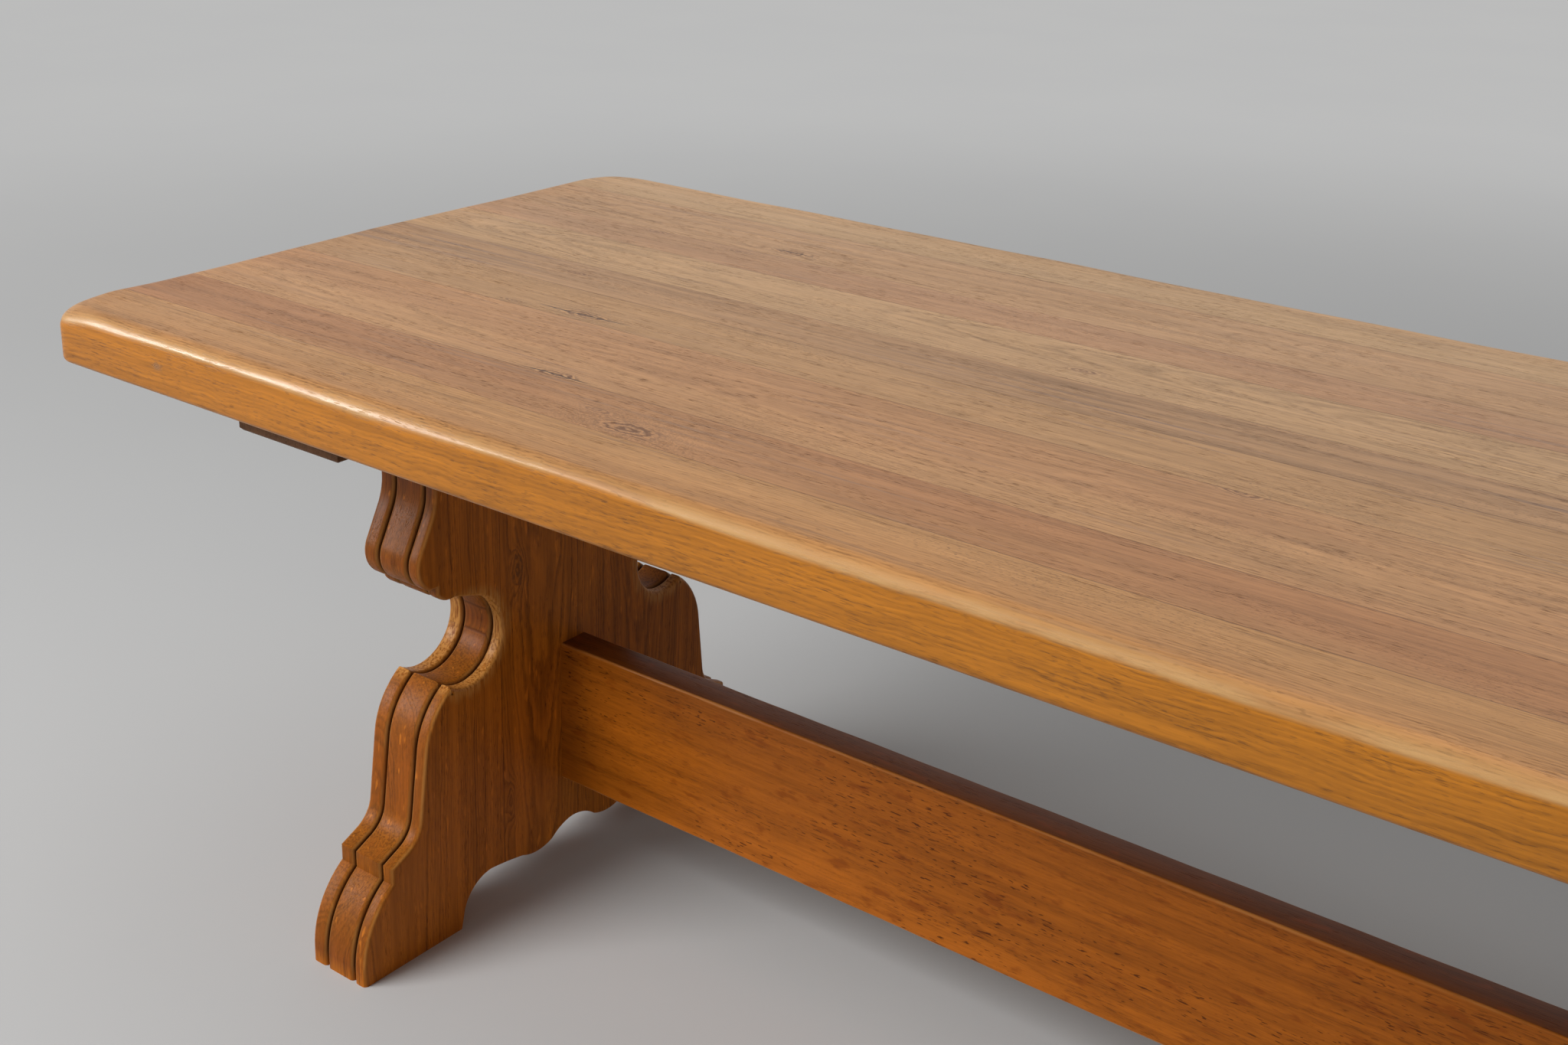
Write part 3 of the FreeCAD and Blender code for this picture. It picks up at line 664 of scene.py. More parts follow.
def tube(rings: np.ndarray, marks: dict[str, np.ndarray]) -> bmesh.types.BMesh:
    """Skin a row of closed rings and close both ends with one flat face each.

    Quad (i, j) joins points j and j + 1 of rings i and i + 1, counted round the ring.

    Args:
        rings: an array of rings by points by three.
        marks: numbers for each point, kept on the mesh under their names.

    Returns:
        The closed mesh, with its faces pointing outwards.
    """
    count, points = rings.shape[:2]
    index = np.arange(count * points).reshape(count, points)
    low, high = index[:-1], index[1:]
    quads = np.stack([low, np.roll(low, -1, 1), np.roll(high, -1, 1), high], -1)
    mesh = bpy.data.meshes.new("skin")
    faces = quads.reshape(-1, 4).tolist() + [index[0].tolist(), index[-1].tolist()]
    mesh.from_pydata(rings.reshape(-1, 3).tolist(), [], faces)
    for name, values in marks.items():
        mark = mesh.attributes.new(name, "FLOAT", "POINT")
        mark.data.foreach_set("value", values.astype(np.float32).ravel())
    mesh.polygons.foreach_set("use_smooth", [True] * len(quads.reshape(-1, 4)) + [False] * 2)
    made = bmesh.new()
    made.from_mesh(mesh)
    bpy.data.meshes.remove(mesh)
    made.faces.ensure_lookup_table()
    caps = [made.faces[-1], made.faces[-2]]
    bmesh.ops.recalc_face_normals(made, faces=made.faces)
    bmesh.ops.triangulate(made, faces=caps)
    return made


def keep_between(whole: bmesh.types.BMesh, *spans: Span) -> bmesh.types.BMesh:
    """Saw a piece out of a closed mesh and close the sawn faces.

    Args:
        whole: the mesh, which is left as it is.
        spans: the spans to keep.

    Returns:
        The piece.
    """
    piece = whole.copy()
    for axis, low, high in spans:
        for limit, sign in ((low, -1.0), (high, 1.0)):
            if limit is None:
                continue
            point, normal = [0.0] * 3, [0.0] * 3
            point[axis], normal[axis] = limit, sign
            bmesh.ops.bisect_plane(piece, geom=piece.verts[:] + piece.edges[:] + piece.faces[:],
                                   dist=1e-6, plane_co=point, plane_no=normal, clear_outer=True)
            filled = bmesh.ops.holes_fill(piece, edges=piece.edges, sides=0)
            for face in filled["faces"]:
                face.smooth = False
    return piece


def place(name: str, made: bmesh.types.BMesh, finish: bpy.types.Material, slot: str,
          *nodes: str) -> None:
    """Turn a mesh into a piece of the table that stands for CAD nodes.

    Args:
        name: the piece's name.
        made: its mesh, which is used up.
        finish: its material.
        slot: the record's material slot; not used.
        nodes: the CAD nodes it stands for.
    """
    bmesh.ops.remove_doubles(made, verts=made.verts, dist=SAME_POINT)
    mesh = bpy.data.meshes.new(name)
    made.to_mesh(mesh)
    made.free()
    mesh.set_sharp_from_angle(angle=SHARP)
    mesh.materials.append(finish)
    piece = link(name, mesh)
    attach(piece, BODY)
    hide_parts(*nodes)
    LOG.info("%s: %d faces", name, len(mesh.polygons))


def around(turn: np.ndarray) -> np.ndarray:
    """Give the directions at angles in radians."""
    return np.stack([np.cos(turn), np.sin(turn)], -1)


def unit(vectors: np.ndarray) -> np.ndarray:
    """Scale vectors to length 1."""
    return vectors / np.linalg.norm(vectors, axis=1)[:, None]


def stood(across: np.ndarray, ring: np.ndarray) -> np.ndarray:
    """Put flat rings one after another along X.

    Args:
        across: the X of each ring, in metres.
        ring: the Y and Z of each ring's points.

    Returns:
        The rings' points.
    """
    places = np.broadcast_to(across[:, None, None], ring.shape[:2] + (1,))
    return np.concatenate([places, ring], -1)


def ripple(turn: np.ndarray, waves: tuple[tuple[int, float], ...]) -> np.ndarray:
    """Give a gentle unevenness that repeats after one turn.

    The sum of a few sine waves of whole counts, each with its own start, scaled to about 1.

    Args:
        turn: the place round the loop, from 0 to 1.
        waves: count and start of each wave.

    Returns:
        Numbers from -1 to 1.
    """
    parts = [np.sin(2 * np.pi * (count * turn + start)) for count, start in waves]
    return sum(parts) / len(parts)


# ---------------------------------------------------------------- top

@dataclass
class Stave:
    """A stave of the top: its width, its material slot and its wood."""

    width: float
    slot: str
    wood: Oak


@dataclass
class Top:
    """The staved top.

    The plan has a small corner at the sides and a wide one at the upper face, so that the arris
    widens round each corner. Shoulder is the straight run on either side of a corner over which
    it does so. On the straight runs the arris's width and drop wander by their play, which fades
    over the fade length at either end, and at the left end the width follows end_places and
    end_widths. Hollow is how far the edge dips in. Strip is the width of the flat ring inside
    the edge, below and above, which holds the edge's marks off the faces; at a corner the upper
    one is drawn towards a point the fan length in from either side. Angles on the arris are in
    degrees: flank_angle is where the edge's own tone ends, and the arris takes its pale wear
    and painted highlight by wear_and_highlight_shares at wear_and_highlight_angles.
    """

    length: float = 2.4
    width: float = 0.9
    height: float = 0.76
    thickness: float = 0.063
    corner: float = 0.024
    face_corner: float = 0.062
    shoulder: float = 0.055
    arris: float = 0.017
    arris_drop: float = 0.018
    under_arris: float = 0.006
    margin: float = 0.0004
    spacing: float = 0.012
    corner_drop: float = 0.007
    fade: float = 0.06
    width_play: float = 0.22
    drop_play: float = 0.16
    end_places: tuple[float, ...] = (-0.35, -0.15, 0.0, 0.225)
    end_widths: tuple[float, ...] = (0.026, 0.019, 0.012, 0.018)
    hollow: float = 0.0005
    strip: tuple[float, float] = (0.003, 0.004)
    fan: float = 0.12
    flank_angle: float = 24.0
    flank_blur: float = 8.0
    wear_and_highlight_angles: tuple[float, ...] = (12, 24, 38, 68)
    wear_and_highlight_shares: tuple[float, ...] = (0, 1, 0.75, 0)

    def corner_lines(self) -> tuple[np.ndarray, np.ndarray, np.ndarray, np.ndarray]:
        """Draw the corner at +X and +Y, counted from the top's extreme corner.

        The outer line runs straight, round the small arc and straight again. The point at a
        share u of its length belongs to the point of the upper face's arc at u quarter turns.

        Returns:
            The outer points, their outward directions, the inner points and the shares u.
        """
        small, wide = self.corner, self.face_corner
        total = 2 * self.shoulder + small * np.pi / 2
        share = np.linspace(0, 1, 33)
        gone = share * total
        turn = np.clip((gone - self.shoulder) / small, 0, np.pi / 2)
        way = around(turn)
        outer = small * way - small
        outer[:, 1] -= np.clip(self.shoulder - gone, 0, None)
        outer[:, 0] -= np.clip(gone - (total - self.shoulder), 0, None)
        inner = wide * around(share * np.pi / 2) - wide - self.arris
        return outer, way, inner, share

    def plan(self) -> dict[str, np.ndarray]:
        """Walk round the top's plan: four corners, a quarter turn apart, and the straight runs.

        Returns:
            For each point: outer and inner place, outward direction, drop of the arris and place
            round the loop from 0 to 1.
        """
        half = np.array([self.length / 2, self.width / 2]) - self.margin
        outer, way, inner, share = self.corner_lines()
        run_start = self.shoulder + self.corner
        parts = []
        for number, corner in enumerate(((1, 1), (-1, 1), (-1, -1), (1, -1))):
            spin = np.linalg.matrix_power(np.array([[0.0, -1.0], [1.0, 0.0]]), number)
            apex = half * corner
            swell = self.corner_drop * np.sin(np.pi * share) ** 2
            parts.append((apex + outer @ spin.T, apex + inner @ spin.T, way @ spin.T,
                          self.arris_drop + swell))
            ahead = np.array([-1.0, 0.0]) @ spin.T
            length = 2 * half[number % 2] - 2 * run_start
            steps = np.linspace(0, length, int(length / self.spacing) + 1)[1:-1]
            line = apex + (run_start + steps)[:, None] * ahead
            out = np.broadcast_to(np.array([0.0, 1.0]) @ spin.T, line.shape)
            free = np.clip(np.minimum(steps, length - steps) / self.fade, 0, 1)
            wander = ripple(steps / length, ((2, 0.1), (3, 0.45), (7, 0.7), (12, 0.2)))
            dip = ripple(steps / length, ((3, 0.8), (5, 0.3)))
            wide = self.arris * (1 + self.width_play * free * wander)
            if number == 1:
                known = np.interp(line[:, 1], self.end_places, self.end_widths)
                wide = self.arris + free * (known - self.arris)
            drop = self.arris_drop * (1 + self.drop_play * free * dip)
            parts.append((line, line - wide[:, None] * out, out, drop))
        names = ("outer", "inner", "way", "drop")
        plan = {name: np.concatenate(column) for name, column in zip(names, zip(*parts))}
        lengths = np.linalg.norm(np.roll(plan["outer"], -1, 0) - plan["outer"], axis=1)
        plan["turn"] = np.concatenate([[0], np.cumsum(lengths)[:-1]]) / lengths.sum()
        return plan

    def slab(self) -> bmesh.types.BMesh:
        """Skin the whole top.

        Its edge is a quarter arc below, an upright, and above it a quarter ellipse from the outer
        to the inner line: at the angle t it has gone 1 - cos t of the way inwards and sin t of
        the way up.

        Returns:
            The closed mesh, with the marks flank, 0 on the faces and 1 on the edge, worn, 1 low
            on the arris, for its pale wear and painted highlight, and bare, 1 on the underside.
        """
        plan = self.plan()
        outer, inner, way, drop = (plan[name] for name in ("outer", "inner", "way", "drop"))
        hollow = self.hollow * (1 + ripple(plan["turn"], ((5, 0.3), (17, 0.8), (29, 0.5))))
        floor, top = self.height - self.thickness, self.height
        skin, marks = [], []

        def ring(points: np.ndarray, level: float | np.ndarray, flank: float, wear_and_highlight: float = 0.0,
                 bare: float = 0.0) -> None:
            """Add one ring.

            Args:
                points: its points in plan, before the edge's hollow.
                level: its height.
                flank: its share of the edge, which is also its share of the hollow.
                wear_and_highlight: how rubbed it is, with the painted highlight along the arris.
                bare: 1 on the underside.
            """
            points = points - way * (hollow * flank)[:, None]
            skin.append(np.column_stack([points, np.broadcast_to(level, len(points))]))
            marks.append(np.broadcast_to((flank, wear_and_highlight, bare), (len(points), 3)))

        under = self.under_arris
        ring(outer - way * (under + self.strip[0]), floor, 0.0, bare=1.0)
        for angle in np.radians(np.linspace(0, 90, 7)):
            ring(outer - way * under * (1 - np.sin(angle)), floor + under * (1 - np.cos(angle)),
                 float(np.sin(angle)), bare=float(angle == 0))
        # The arris: its own tone below flank_angle, pale wear with a painted highlight low on it.
        for degrees in np.linspace(0, 90, 19):
            angle = math.radians(degrees)
            ring(outer + (inner - outer) * (1 - math.cos(angle)),
                 top - drop * (1 - math.sin(angle)),
                 max(0.0, min(1.0, (self.flank_angle - degrees) / self.flank_blur)),
                 float(np.interp(degrees, self.wear_and_highlight_angles, self.wear_and_highlight_shares)))
        middle = np.sign(inner) * (np.array([self.length, self.width]) / 2 - self.fan)
        inwards = unit(np.where(np.abs(inner) > np.abs(middle), middle - inner, 0.0))
        ring(inner + inwards * self.strip[1], top, 0.0)
        shares = np.moveaxis(np.array(marks), -1, 0)
        return tube(np.array(skin), dict(zip(("flank", "wear_and_highlight", "bare"), shares)))

    def build(self, staves: list[Stave]) -> None:
        """Saw the slab into its staves and dress each one.

        Args:
            staves: the staves from -Y to +Y.
        """
        whole = self.slab()
        low = -self.width / 2
        for number, stave in enumerate(staves, start=1):
            high = low + stave.width
            piece = keep_between(whole, (1, None if number == 1 else low,
                                         None if number == len(staves) else high))
            place(f"top_stave_{number}_oak", piece, stave.wood.material(), stave.slot,
                  f"top_stave_{number}")
            low = high
        whole.free()


# ---------------------------------------------------------------- trestle

class Rail:
    """A line of straight runs and arcs, as points in half width and height."""

    straight_step = 0.02
    arc_step = 0.003

    def __init__(self, half_width: float, height: float) -> None:
        """Start the line.

        Args:
            half_width: distance from the table's middle line.
            height: height above the floor.
        """
        self.points = np.array([[half_width, height]])

    def to(self, half_width: float, height: float, bulge: float = 0.0) -> None:
        """Go to a point, straight or by an arc.

        With chord L and bulge b, the arc's half angle is twice the arctangent of 2b / L and its
        radius is L over twice the sine of that; it swells to the right of its chord.

        Args:
            half_width: the point's distance from the middle line.
            height: the point's height.
            bulge: how far the arc swells outwards; negative for a hollow.
        """
        start, end = self.points[-1], np.array([half_width, height])
        chord = end - start
        length = math.hypot(*chord)
        if not bulge:
            share = np.linspace(0, 1, max(2, int(length / self.straight_step) + 1))[1:, None]
            self.points = np.concatenate([self.points, start + share * chord])
            return
        half = 2 * math.atan2(2 * bulge, length)
        radius = length / (2 * math.sin(half))
        pieces = int(abs(2 * half * radius) / self.arc_step)
        turn = np.linspace(-half, half, max(5, pieces + 1))[1:]
        ahead = length / 2 + radius * np.sin(turn)
        aside = radius * (np.cos(turn) - math.cos(half))
        forward = chord / length
        right = np.array([forward[1], -forward[0]])
        arc = start + ahead[:, None] * forward + aside[:, None] * right
        self.points = np.concatenate([self.points, arc])

    def step(self, run: float, rise: float, bulge: float = 0.0) -> None:
        """Go a given way outwards and upwards."""
        half_width, height = self.points[-1]
        self.to(half_width + run, height + rise, bulge)


@dataclass
class Trestle:
    """A scroll-cut trestle whose edge is worked into three bands.

    Quirk is the arris of the bands where they meet, outer_face and inner_face the arrises at the
    faces and plain_arris that of the arch. Rim is a strip of face round the edge, which holds the
    edge's marks off the flat.
    """

    centre: float = 0.908
    height: float = 0.651
    bands: tuple[float, float, float] = (0.024, 0.045, 0.019)
    quirk: float = 0.0055
    slit: float = 0.0018
    slit_depth: float = 0.0030
    outer_face: float = 0.006
    inner_face: float = 0.005
    plain_arris: float = 0.0012
    rim: float = 0.0025
    glue_lines: tuple[float, float, float] = (-0.124, 0.008, 0.203)
    cutout: tuple[float, float] = (0.176, 0.370)
    cutout_radius: float = 0.0545
    peak_angle: float = -58.0
    lip_angle: float = 106.0
    lip_length: float = 0.035

    def on_cutout(self, angle: float) -> tuple[float, float]:
        """Give a point of the round cut-out.

        Args:
            angle: its angle in degrees, 0 outwards and 90 upwards.

        Returns:
            Its half width and height.
        """
        turn = math.radians(angle)
        return (self.cutout[0] + self.cutout_radius * math.cos(turn),
                self.cutout[1] + self.cutout_radius * math.sin(turn))

    def side(self) -> np.ndarray:
        """Draw one side from the floor to the bearer: foot, nose, ogee, cut-out, bead, scroll.

        Returns:
            Its points in half width and height.
        """
        rail = Rail(0.353, 0.0)
        rail.step(0.0, 0.020)
        rail.to(0.305, 0.113, 0.012)
        rail.step(0.0, 0.020)
        rail.step(-0.025, 0.0116)
        rail.step(-0.0215, 0.0292, -0.0046)
        peak = self.on_cutout(self.peak_angle)
        rail.to(0.247, peak[1] - 0.066)
        rail.to(*peak, 0.008)
        for start, end in ((self.peak_angle, -180.0), (180.0, self.lip_angle)):
            depth = self.cutout_radius * (1 - math.cos(math.radians(abs(end - start)) / 2))
            rail.to(*self.on_cutout(end), -depth)
        leave = math.radians(self.lip_angle - 90)
        rail.step(self.lip_length * math.cos(leave), self.lip_length * math.sin(leave))
        rail.step(0.027, 0.011, 0.0045)
        rail.step(0.0, 0.009)
        rail.step(0.010, 0.0)
        rail.step(0.014, 0.045, 0.010)
        rail.step(-0.018, 0.035)
        rail.step(-0.0075, 0.031, -0.0019)
        rail.to(rail.points[-1][0], self.height)
        return rail.points

    def arch(self) -> np.ndarray:
        """Draw half of the arch from the floor to the cusp in the middle.

        Returns:
            Its points in half width and height.
        """
        rail = Rail(0.198, 0.0)
        rail.step(-0.006, 0.025)
        rail.to(0.146, 0.0585, 0.009)
        rail.step(-0.054, -0.008, 0.0008)
        rail.step(-0.053, 0.0, -0.0058)
        rail.to(0.0, 0.066, 0.0035)
        return rail.points

    def loop(self) -> tuple[np.ndarray, np.ndarray]:
        """Join both sides, the top, the feet and the arch into one loop.

        Returns:
            Points in y and z, anticlockwise, and the kind of the run after each point: 2 for a
            moulded side, 1 for the arch, 0 for the top and the feet.
        """
        side, arch = self.side(), self.arch()
        mirror = np.array([-1.0, 1.0])
        runs = ((side, 2), (side[::-1] * mirror, 2), (arch * mirror, 1), (arch[::-1][1:], 1))
        points, kinds = [], []
        for run, kind in runs:
            points.append(run)
            kinds.append(np.array([kind] * (len(run) - 1) + [0]))
        kinds[2][-1] = 1
        return np.concatenate(points), np.concatenate(kinds)

    def section(self) -> dict[str, np.ndarray]:
        """Draw the moulding through the trestle's thickness.

        Each band's two arrises are quarter arcs, and where two bands meet a narrow slit goes on
        inwards between the arcs. The plain section, for the arch, has only a small arc at each
        face.

        Returns:
            The places through the thickness, how far the moulded and the plain edge lie inside
            the outline there, and the marks groove, the painted shade and grime in the grooves,
            worn, pale wear with a painted highlight on the crests, and flank.
        """
        half = sum(self.bands) / 2
        bend = np.radians(np.linspace(0, 90, 8))
        bow, rise = 1 - np.cos(bend), 1 - np.sin(bend)
        # Painted shade and grime in the grooves: darkest in the slit, fading up each quirk arc.
        slit_grime_and_shade = 0.95 * (1 - np.sin(bend)) ** 0.75
        # Pale wear with a painted highlight on the middle of each arc.
        crest = np.sin(2 * bend) ** 3
        rows = [np.array([[-half, self.outer_face + self.rim, 0.0, 0.0, 0.0]])]
        low = -half
        for number, width in enumerate(self.bands):
            for way, edge, slit, face in ((1, low, number > 0, self.outer_face),
                                          (-1, low + width, number < 2, self.inner_face)):
                size = self.quirk if slit else face
                start = edge + way * self.slit / 2 * slit
                arc = np.stack([start + way * size * bow, size * rise, slit_grime_and_shade * slit, crest,
                                np.ones_like(bend) if slit else np.sin(bend)], 1)
                if slit:
                    arc = np.vstack([[start, size + self.slit_depth, 1.0, 0.0, 1.0], arc])
                rows.append(arc[::way])
            low += width
        rows.append(np.array([[half, self.inner_face + self.rim, 0.0, 0.0, 0.0]]))
        across, inset, groove_grime_and_shade, wear_and_highlight, flank = np.concatenate(rows).T
        near_face = np.clip((half - np.abs(across)) / self.plain_arris, 0, 1)
        plain = self.plain_arris * (1 - np.sqrt(1 - (1 - near_face) ** 2))
        plain[[0, -1]] += self.rim
        return {"across": across, "inset": inset, "plain": plain, "groove_grime_and_shade": groove_grime_and_shade,
                "wear_and_highlight": wear_and_highlight, "flank": flank}

    def panel(self) -> bmesh.types.BMesh:
        """Skin the whole trestle about its own middle.

        A point of the loop moves inwards to where its two runs meet after each has moved in by
        its own inset: with outward normals n and m and insets p and q, it moves by the vector v
        with v.n = -p and v.m = -q.

        Returns:
            The closed mesh, with the marks groove, painted shade and grime in the grooves, worn,
            pale wear with a painted highlight on the crests, flank, and end, which is the more the
            further a run leans from upright.
        """
        points, kinds = self.loop()
        section = self.section()
        ahead = unit(np.roll(points, -1, 0) - points)
        out = np.stack([ahead[:, 1], -ahead[:, 0]], 1)
        before = np.roll(out, 1, 0)
        choice = np.stack([np.zeros_like(section["plain"]), section["plain"], section["inset"]])
        q = choice[kinds].T
        p = choice[np.roll(kinds, 1)].T
        cross = before[:, 0] * out[:, 1] - before[:, 1] * out[:, 0]
        safe = np.where(np.abs(cross) < 0.02, 1.0, cross)
        corner = np.stack([(-p * out[:, 1] + q * before[:, 1]) / safe,
                           (p * out[:, 0] - q * before[:, 0]) / safe], -1)
        mean = unit(before + out)
        straight = -((p + q) / 2)[..., None] * mean
        move = np.where((np.abs(cross) < 0.02)[None, :, None], straight, corner)
        skin = stood(section["across"], points[None] + move)
        moulded = (kinds == 2).astype(float)
        marks = {name: section[name][:, None] * moulded[None]
                 for name in ("groove_grime_and_shade", "wear_and_highlight", "flank")}
        marks["end"] = marks["flank"] * np.abs(mean[:, 1]) ** 0.7
        return tube(skin, marks)

    def boards(self) -> dict[str, tuple[Span, ...]]:
        """Share the panel out between its boards.

        Returns:
            For each board's name the spans it keeps, across and upwards.
        """
        one, two, three = self.glue_lines
        foot, scroll = (2, None, self.cutout[1]), (2, self.cutout[1], None)
        return {"wide_foot": ((1, None, one), foot), "wide_scroll": ((1, None, one), scroll),
                "narrow_board": ((1, one, two),), "wide_board": ((1, two, three),),
                "narrow_foot": ((1, three, None), foot),
                "narrow_scroll": ((1, three, None), scroll)}

    def build(self, woods: dict[str, Oak]) -> None:
        """Saw the panel into its boards and set them up at both ends, turned about at the right.

        Args:
            woods: the wood of each board.
        """
        whole = self.panel()
        for name, spans in self.boards().items():
            piece = keep_between(whole, *spans)
            for end, turn in (("left", 1), ("right", -1)):
                board = piece.copy()
                spin = Matrix.Rotation(0.0 if turn > 0 else math.pi, 4, "Z")
                middle = Matrix.Translation((-turn * self.centre, 0, 0))
                bmesh.ops.transform(board, matrix=middle @ spin, verts=board.verts)
                wood = woods[name].turned(f"{end}_{name}_oak", turn, -turn * self.centre)
                place(f"{end}_trestle_{name}_oak", board, wood.material(), "trestle_oak",
                      f"{end}_trestle_{name}")
            piece.free()
        whole.free()


# ---------------------------------------------------------------- stretcher

@dataclass
class Stretcher:
    """The deep plank between the trestles, with softened arrises."""

    span: float = 1.728
    height: float = 0.184
    thickness: float = 0.043
    middle: float = 0.2205
    arris: float = 0.003
    play: float = 0.3

    def build(self, wood: Oak) -> None:
        """Skin the plank: a rounded rectangle carried along X, its arris slightly uneven.

        The mark flank is painted shade from the top: 1 on the upper face, falling from 0.3 to 0
        down the sides. The mark worn is pale wear with a painted highlight along the arrises.

        Args:
            wood: the plank's wood.
        """
        places = np.linspace(-self.span / 2, self.span / 2, 145)
        wander = ripple(places / self.span, ((3, 0.2), (7, 0.6), (16, 0.9)))
        arris = self.arris * (1 + self.play * wander)
        quarter = np.radians(np.linspace(0, 90, 6))
        half = np.array([self.thickness / 2, self.height / 2])
        rings = []
        for number, (y, z) in enumerate(((1, 1), (-1, 1), (-1, -1), (1, -1))):
            turn = quarter + number * np.pi / 2
            way = around(turn)
            middle = half * (y, z) - arris[:, None] * (y, z)
            rings.append(middle[:, None] + arris[:, None, None] * way[None])
        ring = np.concatenate(rings, 1)
        ring[..., 1] += self.middle
        # Pale wear with a painted highlight along each arris.
        wear_and_highlight = np.broadcast_to(np.tile(np.sin(2 * quarter), 4), ring.shape[:2])
        # Painted shade: full on the upper face, 0.3 at the top of each side, none at the bottom.
        dark = np.maximum(np.sin(quarter) ** 3, 0.3)
        dark = np.concatenate([dark, dark[::-1], 0 * quarter, 0 * quarter])
        flank = np.broadcast_to(dark, ring.shape[:2])
        made = tube(stood(places, ring), {"wear_and_highlight": wear_and_highlight, "flank": flank})
        place("stretcher_oak", made, wood.material(), "stretcher_oak", "stretcher")


# ---------------------------------------------------------------- fittings

@dataclass
class Plugs:
    """The domed plugs over the bed bolts, on the trestles' outer faces."""

    face: float = 0.952
    radius: float = 0.01395
    rows: tuple[float, float] = (0.1745, 0.2665)
    depth: float = 0.008
    rise: float = 0.0012

    def build(self, wood: Oak) -> None:
        """Turn a low dome at the end of each plug: its rise falls with the radius squared.

        Args:
            wood: the plugs' wood.
        """
        radii = np.concatenate([[1.0, 1.0], np.linspace(0.98, 0.06, 8)]) * self.radius
        lift = self.rise * (1 - (radii / self.radius) ** 2)
        lift[0] = -self.depth
        turn = np.linspace(0, 2 * np.pi, 33)[:-1]
        whole = bmesh.new()
        for sign in (-1, 1):
            for row in self.rows:
                ring = np.stack([np.broadcast_to((sign * (self.face + lift))[:, None],
                                                 (len(radii), len(turn))),
                                 radii[:, None] * np.cos(turn),
                                 row + radii[:, None] * np.sin(turn)], -1)
                made = tube(ring, {})
                mesh = bpy.data.meshes.new("plug")
                made.to_mesh(mesh)
                made.free()
                whole.from_mesh(mesh)
                bpy.data.meshes.remove(mesh)
        place("bolt_hole_plugs_oak", whole, wood.material(), "plug_oak", "bolt_hole_plugs")


def steel() -> bpy.types.Material:
    """Build the dull zinc of the screws and bolts: cloudy grey, rougher where it is whiter.

    Returns:
        The material.
    """
    shade = Shade(bpy.data.materials.new("zinc_plate"))
    spot = shade.position()
    cloud = shade.noise(spot["X"] * 300.0, spot["Y"] * 300.0, spot["Z"] * 300.0, 3.0)
    colour = shade.blend(cloud.smooth(0.3, 0.7), (0.42, 0.42, 0.43), (0.60, 0.60, 0.58))
    return shade.finish({"Base Color": colour, "Roughness": cloud * 0.3 + 0.22, "Metallic": 1.0},
                        cloud, 0.0002, 0.2)


def dress_nodes(names: tuple[str, ...], finish: bpy.types.Material) -> None:
    """Give CAD nodes that stay in view their material.

    Args:
        names: the nodes.
        finish: the material.
    """
    for name in names:
        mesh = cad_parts[name].data
        for number in range(len(mesh.materials)):
            mesh.materials[number] = finish
        LOG.info("%s: dressed", name)


# ---------------------------------------------------------------- woods

GOLD: Colour = (0.425, 0.149, 0.008)
# Pale wear on the top's arris, with a painted highlight along it.
ARRIS_WEAR_AND_HIGHLIGHT: Colour = (0.52, 0.305, 0.122)
RIM: Colour = (1.0, 0.92, 0.80)


